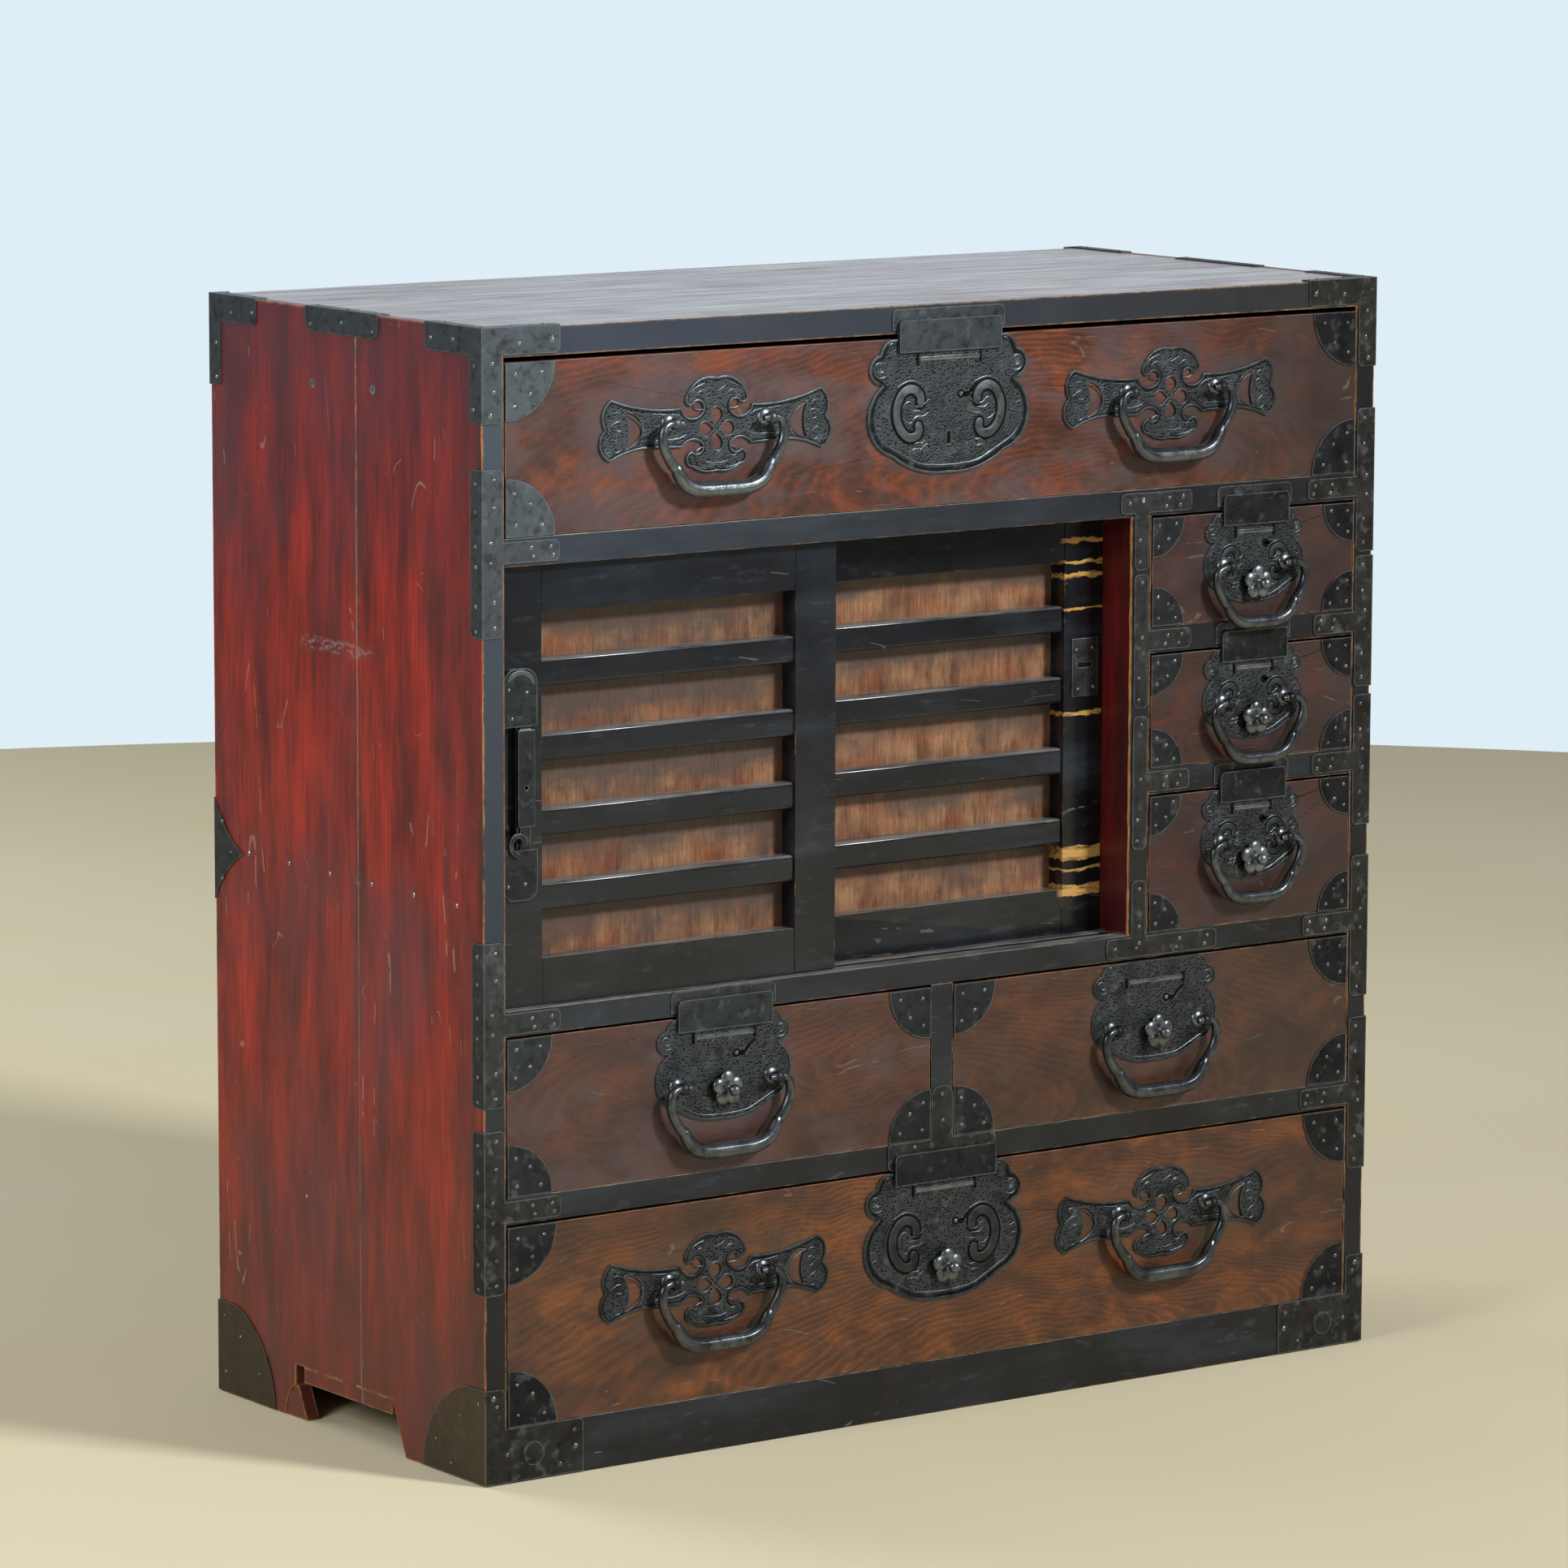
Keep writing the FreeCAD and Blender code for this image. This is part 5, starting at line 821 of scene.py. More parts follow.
def spiral(x, z, outer, inner, turns, start, flip=1, count=14):
    """Points of a spiral inwards, from an angle in degrees."""
    points = []
    for i in range(count + 1):
        share = i / count
        angle = math.radians(start) + turns * math.tau * share
        radius = outer + (inner - outer) * share
        points.append((x + flip * radius * math.cos(angle), z + radius * math.sin(angle)))
    return points


def nails(places, radius, height, material, seed):
    """Low forged nail heads, a little uneven, at places in mm: across, depth of the iron's face, up, and
    the way that they face."""
    chance = random.Random(seed)
    bpy.ops.mesh.primitive_uv_sphere_add(segments=8, ring_count=6, radius=MM)
    first = bpy.context.object
    first.data.materials.append(material)
    heads = []
    for x, y, z, way in places:
        head = first.copy()
        head.data = first.data.copy()
        scene.collection.objects.link(head)
        head.location = (x * MM, y * MM, z * MM)
        wide = radius * chance.uniform(0.85, 1.15)
        sizes = {"front": (wide, height, wide), "side": (height, wide, wide), "top": (wide, wide, height)}
        head.scale = sizes[way]
        head.rotation_euler = [chance.uniform(-0.12, 0.12) for _ in range(3)]
        heads.append(head)
    bpy.data.objects.remove(first)
    return as_mesh(merged(heads))


# Ironwork of the drawers

# The right half of a lock plate from its tip to its top, and of a handle plate from its top to its foot:
# the middle and the end of each arc, as shares of half the width and of the height
LOCK_OUTLINE_SHARES = (
    ((0.40, 0.03), (0.70, 0.14)),
    ((1.00, 0.375), (0.82, 0.67)),
    ((0.985, 0.785), (0.85, 0.893)),
    ((0.80, 0.965), (0.70, 1.00)),
)
HANDLE_OUTLINE_SHARES = (
    ((0.20, 0.89), (0.27, 0.60)),
    ((0.255, 0.45), (0.205, 0.45)),
    ((0.115, 0.40), (0.125, 0.29)),
    ((0.21, 0.17), (0.31, 0.40)),
    ((0.60, 0.43), (0.91, 0.66)),
    ((0.985, 0.40), (0.965, 0.04)),
    ((1.01, -0.34), (0.92, -0.63)),
    ((0.76, -0.46), (0.60, -0.40)),
    ((0.44, -0.42), (0.30, -0.43)),
    ((0.20, -0.29), (0.125, -0.38)),
    ((0.13, -0.51), (0.21, -0.52)),
    ((0.265, -0.64), (0.21, -0.86)),
    ((0.11, -0.98), (0.00, -0.97)),
)
HANDLE_WING = 111
HANDLE_HALF_HEIGHT = 38
# The crescent pierced in a wing and the petals of the flower, which has its middle a little low
CRESCENT = ((0.80, 0.37), (0.64, -0.04), (0.80, -0.42), (0.765, -0.04))
PETAL_RING = 11.4
PETAL = 6.3
PETAL_TIP = 2.6
FLOWER_DROP = 3
# A scroll and its leaves on the right half of a large lock, in mm from its middle line and its tip
LARGE_LOCK_WIDTH = 162
SCROLL = ((28.5, 58), (29, 64), (34, 69), (41, 70), (48, 65.5), (52.3, 56.5), (52.6, 47), (49, 38),
          (42, 31.5), (34.5, 31), (30.5, 35), (30.8, 40))
SCROLL_WIDTH = 7
LEAVES = (
    ((47, 55), (43, 60), (38, 60), (35, 56), (30, 55), (25, 57), (20, 61)),
    ((47, 47), (43, 43), (38, 42), (36, 46), (31, 48), (26, 47), (21, 50)),
    ((40, 55), (37, 52), (33, 52), (28, 52.5)),
    ((44, 57), (45.5, 51), (44, 45)),
    ((37, 21), (32, 22), (28, 20), (25, 24), (21, 25)),
    ((35, 25), (31, 27), (27, 25), (24, 28)),
    ((26, 73), (33, 76.5), (43, 77), (51, 72.5)),
    ((54, 68), (58.5, 60), (60, 50), (58, 40)),
)
# Points of a lock plate's right half where short strokes run inwards, and how far its slot lies down
STROKE_PLACES = (8, 9, 10, 11, 12, 13, 15, 16, 17, 18, 19)
SLOT_DROP = 17
# Lines on the right half of a handle plate, in mm from its middle
HANDLE_LINES = (
    ((25, 15), (27, 20), (26, 26), (21, 31), (12, 33.5)),
    ((13, 13), (17, 12.5), (21.5, 14), (22.5, 18.5), (19, 21.5), (15, 20)),
    ((9, 24), (13, 28), (18, 27), (21, 24)),
    ((0, 27), (5, 29), (9, 31)),
    ((22, -22), (25, -25), (23, -31), (17, -33.5), (9, -34.5)),
    ((13, -17), (18, -18), (21, -21), (19, -25.5), (14.5, -25)),
    ((0, -30), (6, -30.5), (11, -28.5)),
    ((29, 4), (34, 9), (42, 10.5), (52, 10.5), (62, 12)),
    ((29, -6), (35, -9), (44, -9.5), (54, -9), (62, -10)),
    ((103, 3), (98, 7), (92, 8), (90, 3), (93, -1), (97, 1)),
    ((99, -6), (94, -8), (91, -13), (94, -17), (99, -16), (100, -12)),
    ((99, 14), (95, 16), (92, 13)),
)


def lock_relief(middle, top, width, height, slot, scrolls, ringed):
    """The rim, scrolls and chased lines of a lock plate and the bar of its slot, with painted shade in a dark
    band inside the rim, round the scrolls and at the ends of the slot.
    """
    size = width / LARGE_LOCK_WIDTH
    foot = top - height
    low_back = PLATE - 0.4
    half = half_outline((0, 0), LOCK_OUTLINE_SHARES, width / 2, height)
    outline = moved(whole(half), middle, foot)
    rim = 1.5 * size + 0.5
    groove = 5.6 * size if scrolls else 4 * size
    parts = [cut_iron([inset(outline, 0.2), inset(outline, rim)], 1.0, low_back, 0.35, chased_iron)]
    if ringed:
        # Painted shade: a dark band inside the rim
        ring = [inset(outline, rim - 0.4), inset(outline, groove)]
        parts.append(cut_iron(ring, 0.5, low_back, 0.1, rim_shade_iron))
    # A scalloped line inside the groove, from ear to ear round the foot
    inner = inset(whole(half), groove + 0.4)[:len(half)]
    low = [point for point in inner if point[1] < height * 0.62 and point[0] > 0.5]
    border = [(-x, z) for x, z in reversed(low)] + low
    scallop = [(x, z + 1.5 * size * abs(math.sin(x / (9 * size)))) for x, z in border]
    lines = [moved(scallop, middle, foot)]
    strokes = []
    outer_ends = inset(half_open(half), groove + 1.6)
    inner_ends = inset(half_open(half), groove + 6.5 * size)
    for side in (-1, 1):
        ear_x, ear_z = middle + side * 0.85 * width / 2, foot + 0.79 * height
        lines.append(spiral(ear_x, ear_z, 8.2 * size, 2.2 * size, 1.25, 230, side))
        tip_x, tip_z = middle + side * 0.70 * width / 2, foot + 0.95 * height
        lines.append(spiral(tip_x, tip_z, 3.5 * size, 2 * size, 0.5, -60, side, 7))
        if scrolls:
            # Painted shadow: a dark outline round the scroll
            shadow = moved(ribbon(SCROLL, SCROLL_WIDTH + 4.4), middle, foot, side, size)
            parts.append(cut_iron([shadow], 0.6, low_back, 0.1, painted_shade_iron))
            scroll = moved(ribbon(SCROLL, SCROLL_WIDTH), middle, foot, side, size)
            parts.append(cut_iron([scroll], 1.3, low_back, 0.5, scroll_iron))
            lines += [moved(line, middle, foot, side, size) for line in LEAVES]
            for at in STROKE_PLACES:
                strokes.append([(middle + side * x, foot + z) for x, z in (outer_ends[at], inner_ends[at])])
    parts.append(chased(lines, 1.0 * size + 0.2, 0.45, PLATE, chased_iron))
    if strokes:
        parts.append(chased(strokes, 0.8, 0.4, PLATE, chased_iron))
    bar = top - SLOT_DROP
    # Painted shade: dark caps where the slot's ends lie open
    for side in (-1, 1):
        x = middle + side * (slot / 2 + 0.6)
        cap = rectangle(x - 1, x + 1, bar - 4.5, bar + 4)
        parts.append(cut_iron([cap], 1.4, PLATE - 0.2, 0.3, painted_shade_iron))
    half_bar = slot / 2 - 2
    staple = rectangle(middle - half_bar, middle + half_bar, bar - 1.2, bar + 2.0)
    parts.append(cut_iron([staple], 2.0, PLATE - 0.6, 0.9, bar_iron))
    return parts


def half_open(half):
    """The right half of an outline, closed along the middle line."""
    return half + [(0, half[-1][1])]


def petal(x, z, turn):
    """The rim of a petal: round far out, with its point near the flower's middle."""
    lean = math.asin(PETAL / (PETAL_RING - PETAL_TIP))
    angles = [math.pi / 2 + lean - (math.pi + 2 * lean) * step / 12 for step in range(13)]
    rim = [(PETAL_TIP, 0)]
    rim += [(PETAL_RING + PETAL * math.cos(angle), PETAL * math.sin(angle)) for angle in angles]
    rim.append((PETAL_TIP, 0))
    across, up = math.cos(turn), math.sin(turn)
    return [(x + px * across - pz * up, z + px * up + pz * across) for px, pz in rim]


def handle_relief(x, z):
    """The rolled border, rims and chased lines of a butterfly plate, with a band of painted shade inside the
    border.
    """
    half = half_outline((0, HANDLE_HALF_HEIGHT), HANDLE_OUTLINE_SHARES, HANDLE_WING, HANDLE_HALF_HEIGHT)
    outline = moved(whole(half), x, z)
    parts = [
        cut_iron([inset(outline, 0.15), inset(outline, 1.7)], 1.1, PLATE - 0.4, 0.4, chased_iron),
        cut_iron([inset(outline, 1.2), inset(outline, 3.2)], 0.5, PLATE - 0.4, 0.1, rim_shade_iron),
    ]
    rims = [petal(x, z - FLOWER_DROP, math.tau * turn / 4) for turn in range(4)]
    lines = []
    for side in (-1, 1):
        crescent = [CRESCENT[0]] + arc(*CRESCENT[:3]) + arc(CRESCENT[2], CRESCENT[3], CRESCENT[0])
        rims.append([(x + side * px * HANDLE_WING, z + pz * HANDLE_HALF_HEIGHT) for px, pz in crescent])
        lines += [moved(line, x, z, side) for line in HANDLE_LINES]
    parts.append(chased(rims, 0.9, 0.5, PLATE, chased_iron))
    parts.append(chased(lines, 1.1, 0.5, PLATE, chased_iron))
    return parts


def corner_nails(low, high, radius):
    """Places of the nails in the quarter-round plates of a front."""
    places = []
    for x, toward in ((low[0] / MM, 1), (high[0] / MM, -1)):
        for z, up in ((low[2] / MM, 1), (high[2] / MM, -1)):
            for across, rise in ((0.2, 0.2), (0.74, 0.18), (0.18, 0.74), (0.5, 0.55)):
                nail = (x + toward * across * radius, FRONT / MM - STRAP, z + up * rise * radius, "front")
                places.append(nail)
    return places


def dome(x, z):
    """The polished dome that a post's stem comes out of, on its collar."""
    bpy.ops.mesh.primitive_uv_sphere_add(segments=24, ring_count=14, radius=MM)
    boss = bpy.context.object
    boss.scale = (7.4, 4.0, 7.4)
    boss.location = (x * MM, FRONT - PLATE * MM, z * MM)
    boss.data.materials.append(bar_iron)
    return as_mesh(boss)


def keyhole_shadow(x, drawer):
    """The dark of the lock in the key slot and the pin hole, and the pin in the hole of the larger locks."""
    z = SPINDLE_LEVELS[drawer]
    key = TOP_KEY_LEVEL if drawer == "top_drawer" else z
    pin = x + 12
    # The shadow stands behind the holes, the inlays keep them dark from the side
    shadows = [rectangle(x + 7.5, x + 27, key - 4.4, key + 13)]
    tail = [(0, 0), (6, -0.6), (10, -1)] if "small" in drawer else [(0, 0), (7, -1.6), (11, 4), (18, 9)]
    inlays = [ribbon(moved(tail, pin, key), 2.6), circle(pin, key, 4)[:-1]]
    if drawer == "top_drawer":
        shadows.append(rectangle(x - 2.6, x + 2.6, z - 6, z + 6))
        inlays.append(rectangle(x - 2.1, x + 2.1, z - 5, z + 5))
    parts = [cut_iron([shape], 0.5, 0.05, 0.1, painted_shade_iron) for shape in shadows]
    parts += [cut_iron([shape], 0.3, PLATE - 0.2, 0.05, painted_shade_iron) for shape in inlays]
    if "small" not in drawer:
        parts.append(nails([(pin, FRONT / MM - PLATE, key, "front")], 2.2, 1.8, bar_iron, 7))
    return merged(parts)


# Levels of the knobs' spindles. The key pin lies at the same level, but higher on the top drawer
SPINDLE_LEVELS = {
    "top_drawer": 810, "bottom_drawer": 160, "left_half_drawer": 325, "right_half_drawer": 325,
    "upper_small_drawer": 702, "middle_small_drawer": 587, "lower_small_drawer": 468,
}
TOP_KEY_LEVEL = 845
# Lock plate's width and height, its slot's length, the corner plates' radius, and whether it has scrolls
LOCKS = {
    "top_drawer": (162, 111, 62, 46, True),
    "bottom_drawer": (162, 111, 62, 46, True),
    "left_half_drawer": (132, 86, 59, 42, False),
    "right_half_drawer": (132, 86, 59, 42, False),
    "upper_small_drawer": (106, 77, 40, 33, True),
    "middle_small_drawer": (106, 77, 40, 33, True),
    "lower_small_drawer": (106, 77, 40, 33, True),
}
HANDLE_MIDDLES = {"top_drawer": 833, "bottom_drawer": 141}
HANDLE_OFFSET = 229.5
# The posts of a bail stand at these distances from its middle, and its pivot lies below its box's top
LARGE_REACH = 46.5
SMALL_REACH = 33
PIVOT_DROP = 2.4
for seed, (drawer, (width, height, slot, corner, scrolls)) in enumerate(LOCKS.items()):
    low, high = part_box(drawer + "_front")
    middle = (low[0] + high[0]) / 2 / MM
    parts = lock_relief(middle, high[2] / MM, width, height, slot, scrolls, drawer in HANDLE_MIDDLES)
    if drawer in HANDLE_MIDDLES:
        for side in (-1, 1):
            parts += handle_relief(side * HANDLE_OFFSET, HANDLE_MIDDLES[drawer])
    for body in sorted(frame["bodies"]):
        if body.endswith("_bail") and body.startswith(drawer.replace("_drawer", "")):
            start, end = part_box(body)
            centre = (start[0] + end[0]) / 2 / MM
            reach = SMALL_REACH if "small" in body else LARGE_REACH
            for side in (-1, 1):
                parts.append(dome(centre + side * reach, end[2] / MM - PIVOT_DROP))
    parts.append(nails(corner_nails(low, high, corner), 1.7, 0.9, bar_iron, seed))
    parts.append(keyhole_shadow(middle, drawer))
    joined(parts, drawer + "_chased_iron", drawer)


# Bails and rosettes


def rod(points, material):
    """A forged round rod through points in mm, each with its radius, before the chest's front."""
    curve = bpy.data.curves.new("rod", "CURVE")
    curve.dimensions = "3D"
    spline = curve.splines.new("NURBS")
    spline.points.add(len(points) - 1)
    for point, (x, z, radius) in zip(spline.points, points):
        point.co = (x * MM, 0, z * MM, 1)
        point.radius = radius
    spline.order_u = 3
    spline.use_endpoint_u = True
    spline.resolution_u = 8
    curve.bevel_depth = MM
    curve.bevel_resolution = 4
    curve.use_fill_caps = True
    curve.materials.append(material)
    piece = bpy.data.objects.new("rod", curve)
    scene.collection.objects.link(piece)
    return as_mesh(piece)


def melted(parts, voxel, rounds):
    """Parts forged into one skin: remeshed, then smoothed."""
    piece = merged(parts)
    remesh = piece.modifiers.new("one_skin", "REMESH")
    remesh.mode = "VOXEL"
    remesh.voxel_size = voxel * MM
    remesh.use_smooth_shade = True
    bpy.ops.object.modifier_apply(modifier=remesh.name)
    relax = piece.modifiers.new("relax", "SMOOTH")
    relax.factor = 0.5
    relax.iterations = rounds
    bpy.ops.object.modifier_apply(modifier=relax.name)
    return piece


def bail(half_posts, half_width, drop, foot, body):
    """A bail with two thin arms whose round ends lie outside the ends of its thick lower bar, which is
    level as far as its foot on each side."""
    past = half_width - foot
    parts = []
    for side in (-1, 1):
        arm = (
            (half_posts - 8, 0, 2.6), (half_posts + 1, 0, 2.7), (half_posts + 6, 0.3, 3.0),
            (half_width - 0.5, -0.06 * drop, 3.6), (half_width + 0.8, -0.22 * drop, 4.0),
            (half_width - 0.5, -0.36 * drop, 4.2), (foot + past * 0.89, -0.48 * drop, 4.3),
            (foot + past * 0.79, -0.575 * drop, 4.5), (foot + past * 0.71, -0.645 * drop, 4.6),
            (foot + past * 0.66, -0.695 * drop, 3.4), (foot + past * 0.645, -0.71 * drop, 1.2),
        )
        parts.append(rod([(side * x, z, radius) for x, z, radius in arm], bail_iron))
    end = (
        (foot + past * 0.67, -0.57 * drop, 1.4), (foot + past * 0.65, -0.63 * drop, body - 2.0),
        (foot + past * 0.58, -0.75 * drop, body - 1.0), (foot + past * 0.42, -0.90 * drop, body - 0.5),
        (foot + past * 0.18, -0.985 * drop, body - 0.2), (foot - past * 0.10, -1.02 * drop, body),
        (foot * 0.3, -1.02 * drop, body + 0.1),
    )
    bar = [(-x, z, radius) for x, z, radius in end] + [(x, z, radius) for x, z, radius in reversed(end)]
    parts.append(rod(bar, bail_iron))
    return melted(parts, 0.6, 4)


def set_piece(model, place, name, body, replaced):
    """A copy of a model with its own mesh at its place in mm."""
    piece = model.copy()
    piece.data = model.data.copy()
    scene.collection.objects.link(piece)
    piece.location = [value * MM for value in place]
    bpy.ops.object.select_all(action="DESELECT")
    piece.select_set(True)
    bpy.context.view_layer.objects.active = piece
    bpy.ops.object.transform_apply(location=True, rotation=True, scale=True)
    piece.name = name
    piece.data.name = name
    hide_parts(replaced)
    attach(piece, body)


BAIL_DEPTH = 11.5
large_bail = bail(LARGE_REACH, 58, 53, 24, 6.6)
small_bail = bail(SMALL_REACH, 47, 47, 17, 5.7)
for body in sorted(frame["bodies"]):
    if body.endswith("_bail"):
        low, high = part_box(body)
        middle = (low[0] + high[0]) / 2 / MM
        model = small_bail if "small" in body else large_bail
        place = (middle, FRONT / MM - BAIL_DEPTH, high[2] / MM - PIVOT_DROP)
        set_piece(model, place, body + "_forged", body, body)


# The knob's whole radius, the ring that its petals' middles lie on and how far they stand out
KNOB_RADIUS = 15
KNOB_RING = 8.4
KNOB_DEPTH = 7


def rosette():
    """Five domed petals on a disc, a ball pin and its collar, and the spindle with its cam behind."""
    rounds = []
    for turn in range(5):
        angle = math.radians(90 + 72 * turn)
        rounds.append((KNOB_RING * math.cos(angle), KNOB_RING * math.sin(angle), 6.6, 3.2))
    rounds.append((0, 0, 9, 2.4))
    petals = []
    for x, z, radius, height in rounds:
        bpy.ops.mesh.primitive_uv_sphere_add(
            segments=24, ring_count=14, radius=MM, location=(x * MM, -KNOB_DEPTH * MM, z * MM),
        )
        bpy.context.object.scale = (radius, height, radius)
        petals.append(as_mesh(bpy.context.object))
    flower = melted(petals, 0.5, 2)
    flower.data.materials.clear()
    flower.data.materials.append(petal_iron)
    parts = [flower]
    # Collar, pin, spindle and cam
    for radius, start, end in ((5, -4.4, -1.6), (2.2, -16, -7), (2.4, -4.4, 28), (6, 25, 28)):
        bpy.ops.mesh.primitive_cylinder_add(
            vertices=24, radius=radius * MM, depth=(end - start) * MM, rotation=(math.pi / 2, 0, 0),
            location=(0, (start + end) / 2 * MM, 0),
        )
        part = bpy.context.object
        soften = part.modifiers.new("soft_ends", "BEVEL")
        soften.width = 0.4 * MM
        soften.segments = 2
        part.data.materials.append(petal_iron)
        parts.append(as_mesh(part))
    bpy.ops.mesh.primitive_uv_sphere_add(
        segments=24, ring_count=16, radius=5 * MM, location=(0, -16.5 * MM, 0),
    )
    ball = bpy.context.object
    ball.data.materials.append(petal_iron)
    parts.append(as_mesh(ball))
    piece = merged(parts)
    bpy.ops.object.shade_smooth_by_angle(angle=math.radians(50))
    return piece


knob = rosette()
for body in sorted(frame["bodies"]):
    if body.endswith("_knob"):
        low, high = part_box(body)
        place = ((low[0] + high[0]) / 2 / MM, FRONT / MM, high[2] / MM - KNOB_RADIUS)
        set_piece(knob, place, body + "_rosette", body, body)
for model in (large_bail, small_bail, knob):
    bpy.data.objects.remove(model)


# Nails in the straps and brackets of the carcase


# The middle of the strap on the partition
PARTITION = 201.5


def strap_nails():
    """Places of the nails in the straps of the posts, the rails, the sides and the top edges."""
    front = FRONT / MM
    strap = front - STRAP
    wide = RIGHT / MM
    top = HEIGHT / MM + STRAP
    places = []
    for side, level, up, down, arm in (
        (-1, 743.5, 66, 66, 53), (-1, 370.5, 66, 66, 53), (-1, 220, 66, 66, 53), (1, 743.5, 66, 56, 53),
        (1, 628, 56, 56, 45), (1, 509, 56, 56, 45), (1, 370.5, 56, 66, 53), (1, 220, 66, 66, 53),
    ):
        post = side * (wide - 9)
        for rise in (up - 8, up - 30, 9, -7, 28 - down, 8 - down):
            places.append((post + side * (2 if rise % 2 else -1), strap, level + rise, "front"))
            places.append((side * (wide + STRAP), front + 8.5, level + rise - 3, "side"))
        for reach in (18 + arm - 8, 18 + arm / 2):
            places.append((side * (wide - reach), strap, level + 3, "front"))
            places.append((side * (wide - reach - 2), strap, level - 4, "front"))
    for side in (-1, 1):
        for reach, level in (
            (64, 910), (34, 907), (9, 892), (10, 870), (84, 36), (70, 10), (10, 64), (20, 24),
        ):
            places.append((side * (wide - reach), strap, level, "front"))
        for deep, level in (
            (72, 908), (40, 909), (10, 890), (11, 856), (157, 906), (203, 910), (250, 906), (340, 908),
            (372, 906), (396, 880), (396, 852), (72, 26), (50, 10), (10, 66), (36, 52), (342, 26), (372, 52),
            (396, 18), (397, 66), (394, 484), (394, 436), (380, 460),
        ):
            places.append((side * (wide + STRAP), front + deep, level, "side"))
        for deep in (10, 60, 160, 203, 248, 345, 390):
            places.append((side * (wide - 5), front + deep, top, "top"))
        for reach in (30, 60):
            places.append((side * (wide - reach), front + 5, top, "top"))
    for level, up, down, left, right in (
        (743.5, 8, 56, 15, 45), (628, 56, 56, 0, 45), (509, 56, 56, 0, 45), (370.5, 56, 8, 26, 76),
    ):
        for rise in (up - 7, 3, 25 - down, 7 - down):
            places.append((PARTITION + (1 if rise > 0 else -2), strap, level + rise, "front"))
        for reach in (right - 2, right / 2 + 6):
            places.append((PARTITION + reach, strap, level + 3, "front"))
            places.append((PARTITION + reach - 3, strap, level - 4, "front"))
        if left:
            places.append((PARTITION - left + 2, strap, level, "front"))
    for x, level in ((-2, 268), (-1, 246), (-46, 220), (46, 221), (-30, 226), (30, 214)):
        places.append((x, strap, level, "front"))
    return places


joined([nails(strap_nails(), 1.8, 0.9, bar_iron, 31)], "strap_nails", "carcase")
SCREWS = ((157, 858), (247, 860), (222, 462))
screws = [(LEFT / MM, BACK / MM - deep, level, "side") for deep, level in SCREWS]
joined([nails(screws, 3.6, 0.7, bar_iron, 37)], "side_screws", "carcase")


# Latch of the left door and catch of the right one

LATCH_FACE = 5.1
LATCH_NAILS = ((5, 635), (22, 632), (4, 479), (20, 480), (8, 612))
CATCH_NAILS = ((-9, 15), (8, 16), (-7, -18), (9, -17))
HOOK = ((-3, -3), (-8, 1), (-9.5, 8), (-5, 13), (1, 12), (3, 7))
latch_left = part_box("latch_plates")[0][0] / MM
dots = [(latch_left + x, FRONT / MM + LATCH_FACE, z, "front") for x, z in LATCH_NAILS]
hook = moved(ribbon(HOOK, 4.4), latch_left + 15, 506)
highlight = arc((latch_left + 3, 638), (latch_left + 16, 648), (latch_left + 29, 638), 9)
latch_parts = [
    nails(dots, 1.6, 1.2, bar_iron, 41),
    cut_iron([hook], 3.2, -LATCH_FACE - 0.1, 0.9, latch_iron),
    chased([highlight], 4.4, 1.0, -LATCH_FACE, chased_iron),
]
bar_low, bar_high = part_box("latch_bar")
bar_left, bar_right, bar_top = bar_low[0] / MM, bar_high[0] / MM, bar_high[2] / MM - 2.4
bar_end = [(bar_left + 1, bar_top), (bar_right - 4, bar_top), (bar_right - 1, bar_top)]
latch_parts.append(chased([bar_end], 4.6, 1.3, (FRONT - bar_low[1]) / MM - 0.2, bar_iron))
joined(latch_parts, "latch_hook_and_nails", "left_door")
catch_low, catch_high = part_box("catch_plate")
catch_x = (catch_low[0] + catch_high[0]) / 2 / MM
catch_z = (catch_low[2] + catch_high[2]) / 2 / MM
dots = [(catch_x + x, catch_low[1] / MM, catch_z + z, "front") for x, z in CATCH_NAILS]
joined([nails(dots, 1.8, 1.0, bar_iron, 43)], "catch_nails", "right_door")


# Finishes and soft edges of the boards and plates that come from the frame


def finish_node(node, material, softness=0.0):
    """Gives a node its material and rounds its edges by a width in mm."""
    piece = frame["nodes"][node]
    for slot in piece.material_slots:
        slot.material = material
    if softness:
        weld = piece.modifiers.new("joined_faces", "WELD")
        weld.merge_threshold = 0.01 * MM
        soften = piece.modifiers.new("soft_edges", "BEVEL")
        soften.width = softness * MM
        soften.segments = 2
        soften.limit_method = "ANGLE"
        soften.angle_limit = math.radians(40)


for node, material, softness in (
    ("left_side_boards", side_lacquer, 0.7),
    ("right_side_boards", side_lacquer, 0.7),
    ("foot_battens", side_lacquer, 0.7),
    ("top_board", top_lacquer, 0.7),
    ("partition_board", partition_lacquer, 0.6),
    ("bottom_board", inner_wood, 0),
    ("back_boards", inner_wood, 0.6),
    ("dust_boards", inner_wood, 0),
    ("cupboard_shelf", inner_wood, 0.6),
    ("cross_rails", frame_lacquer, 0.7),
    ("half_drawer_divider", frame_lacquer, 0.6),
    ("corner_brackets", sheet_iron, 0.35),
    ("edge_straps", sheet_iron, 0.35),
    ("strike_plates", sheet_iron, 0.35),
    ("carcase_nails", bar_iron, 0),
    ("left_door_frame", door_lacquer, 0.7),
    ("right_door_frame", worn_door_lacquer, 0.7),
    ("left_door_bars", door_lacquer, 0.6),
    ("right_door_bars", door_lacquer, 0.6),
    ("left_door_panel", left_panel_wood, 0),
    ("right_door_panel", right_panel_wood, 0),
    ("latch_plates", latch_iron, 0.5),
    ("latch_bar", latch_iron, 0.5),
    ("catch_plate", sheet_iron, 0.3),
):
    finish_node(node, material, softness)
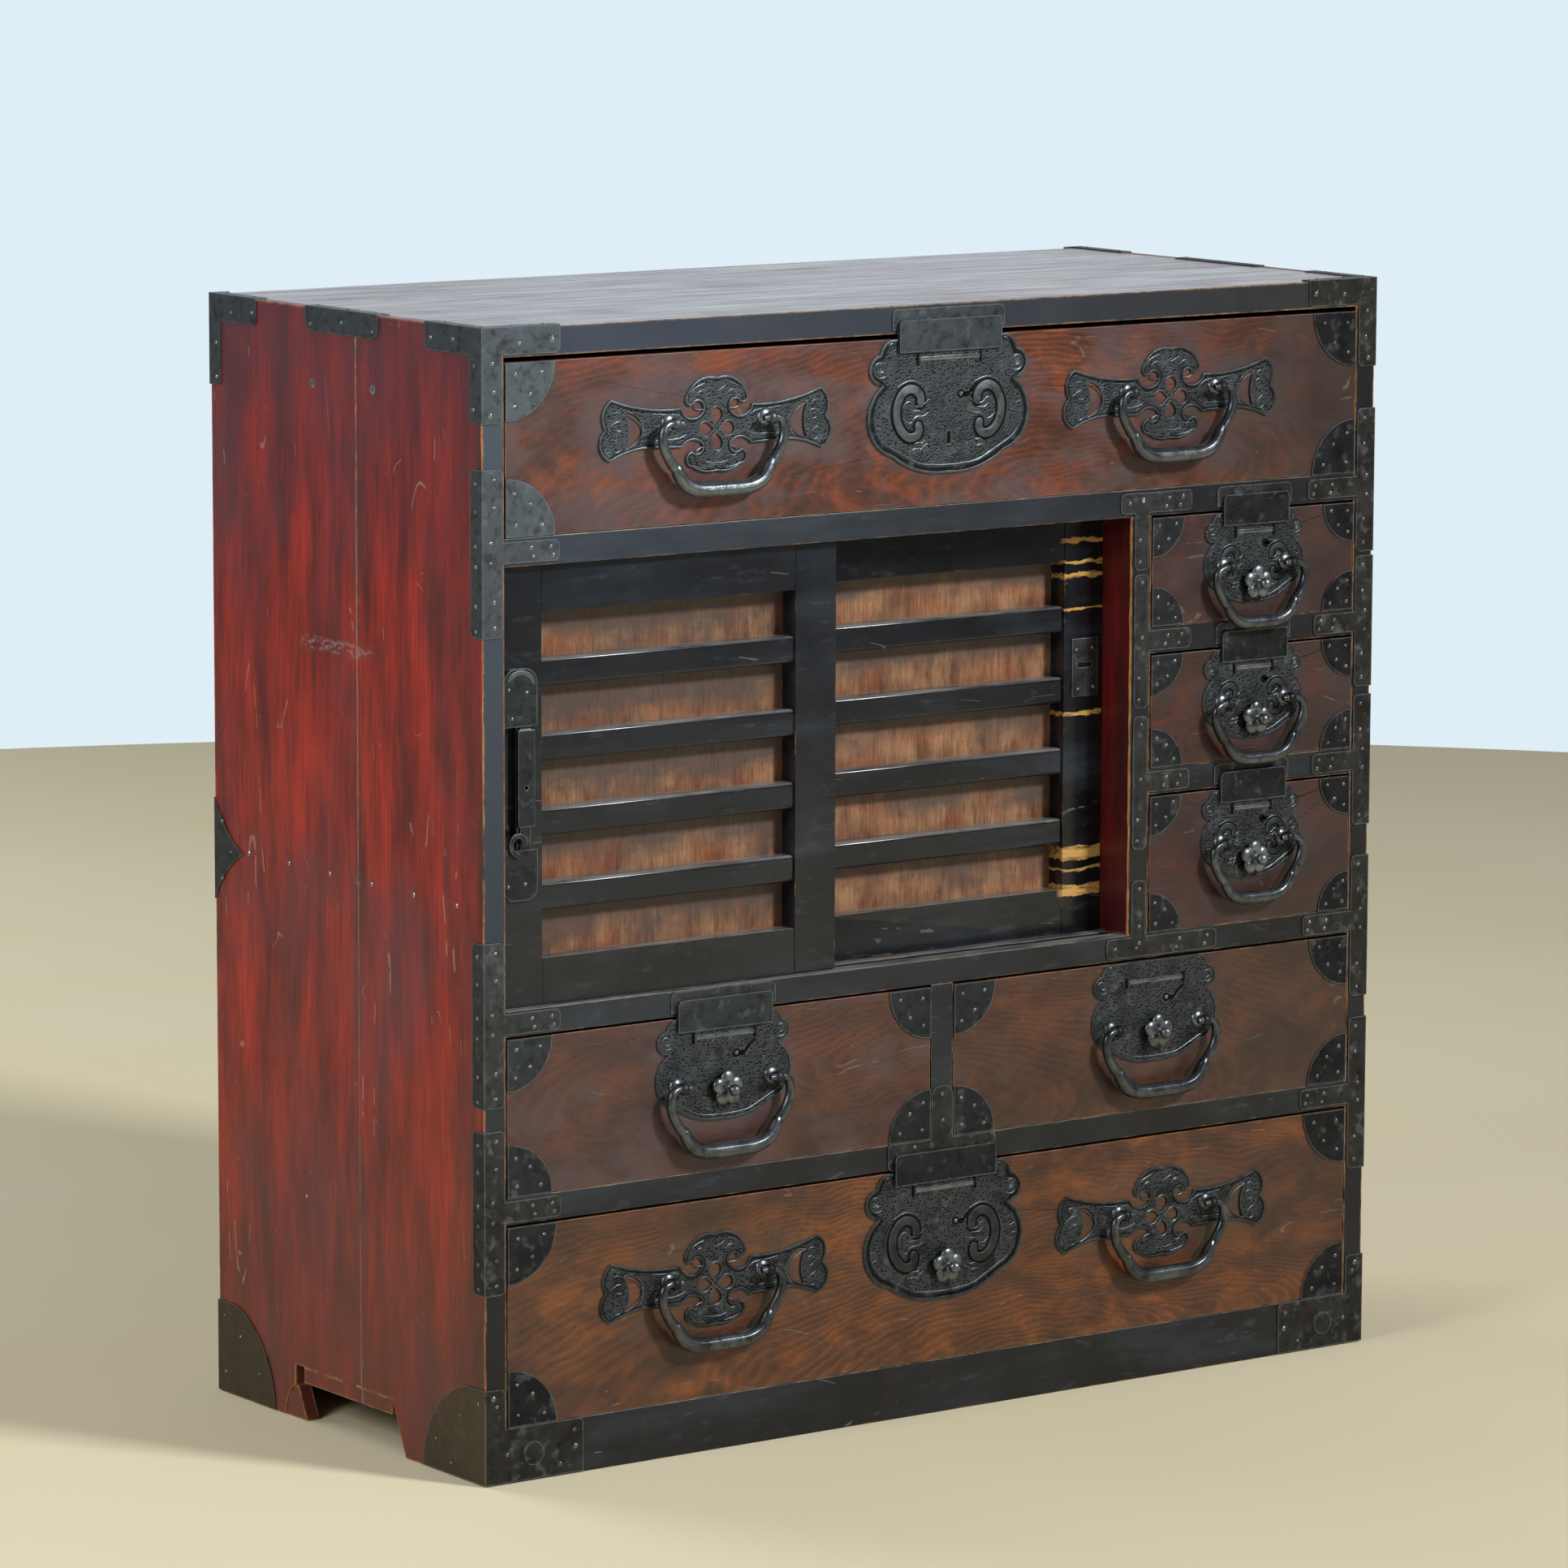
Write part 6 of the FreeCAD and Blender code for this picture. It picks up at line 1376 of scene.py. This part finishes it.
for drawer in LOCKS:
    wood = front_woods["small_drawers" if "small" in drawer else drawer]
    finish_node(drawer + "_front", wood, 0.6)
    finish_node(drawer + "_box", inner_wood, 0.5)
    finish_node(drawer + "_iron", ground_iron)


# Camera, stage and light

aim_camera()
scene.view_settings.view_transform = "Standard"

# A round pale floor, whose far edge lies where the wall of the room began
bpy.ops.mesh.primitive_circle_add(vertices=256, radius=3.76, fill_type="NGON")
floor = bpy.context.object
floor.name = "floor"
material, tree, place = new_material("matt_studio_floor")
uneven = patches(tree, place, 900, 0.3, 0.7, detail=2)
tone = laid_over(tree, colour("e2dabd"), uneven, 1, "ddd3b0")
shader = add(tree, "BsdfPrincipled", {"Base Color": tone, "Roughness": 0.9})
add(tree, "OutputMaterial", {"Surface": shader})
floor.data.materials.append(material)

# The camera sees a pale room all round. Gloss and glass see its pale wall behind the chest and dimmer
# walls elsewhere, and the light that it gives is weaker still
world = bpy.data.worlds.new("pale_room")
scene.world = world
world.use_nodes = True
tree = world.node_tree
tree.nodes.clear()
rays = add(tree, "LightPath", {})
mirrored = add(tree, "Math", {
    0: rays.node.outputs["Is Glossy Ray"], 1: rays.node.outputs["Is Transmission Ray"],
}, operation="MAXIMUM")
toward = add(tree, "TexCoord", {})
facing = add(tree, "VectorMath", {0: toward, 1: (0.58, 0.81, 0)}, operation="DOT_PRODUCT")
wall = add(tree, "MapRange", {"Value": facing, "From Min": 0.45, "From Max": 0.85, "To Min": 0.2})
lit = add(tree, "Background", {"Color": colour("e4ecf2"), "Strength": 0.17})
shown = add(tree, "Background", {"Color": colour("e2eaf4"), "Strength": wall})
pale = add(tree, "Background", {"Color": colour("dfeef6"), "Strength": 1.0})
shader = add(tree, "MixShader", {0: mirrored, 1: lit, 2: shown})
shader = add(tree, "MixShader", {0: rays, 1: shader, 2: pale})
add(tree, "OutputWorld", {"Surface": shader})


def lamp(name, place, target, size, power):
    """A large soft panel that shines at a point."""
    bpy.ops.object.light_add(type="AREA", location=place)
    light = bpy.context.object
    light.name = name
    light.data.size = size
    light.data.energy = power
    light.rotation_euler = (Vector(target) - Vector(place)).to_track_quat("-Z", "Y").to_euler()


lamp("key_panel", (2.0, -4.5, 3.8), (0, -0.1, 0.55), 0.8, 285)
lamp("left_panel", (-3.6, -0.7, 2.1), (-0.3, 0, 0.6), 1.4, 62)
lamp("back_panel", (-1.5, 3.8, 2.6), (0, 0, 0.5), 2.4, 85)
# The glossy top would mirror this panel as a white sheet in views from the front right
bpy.context.object.visible_glossy = False
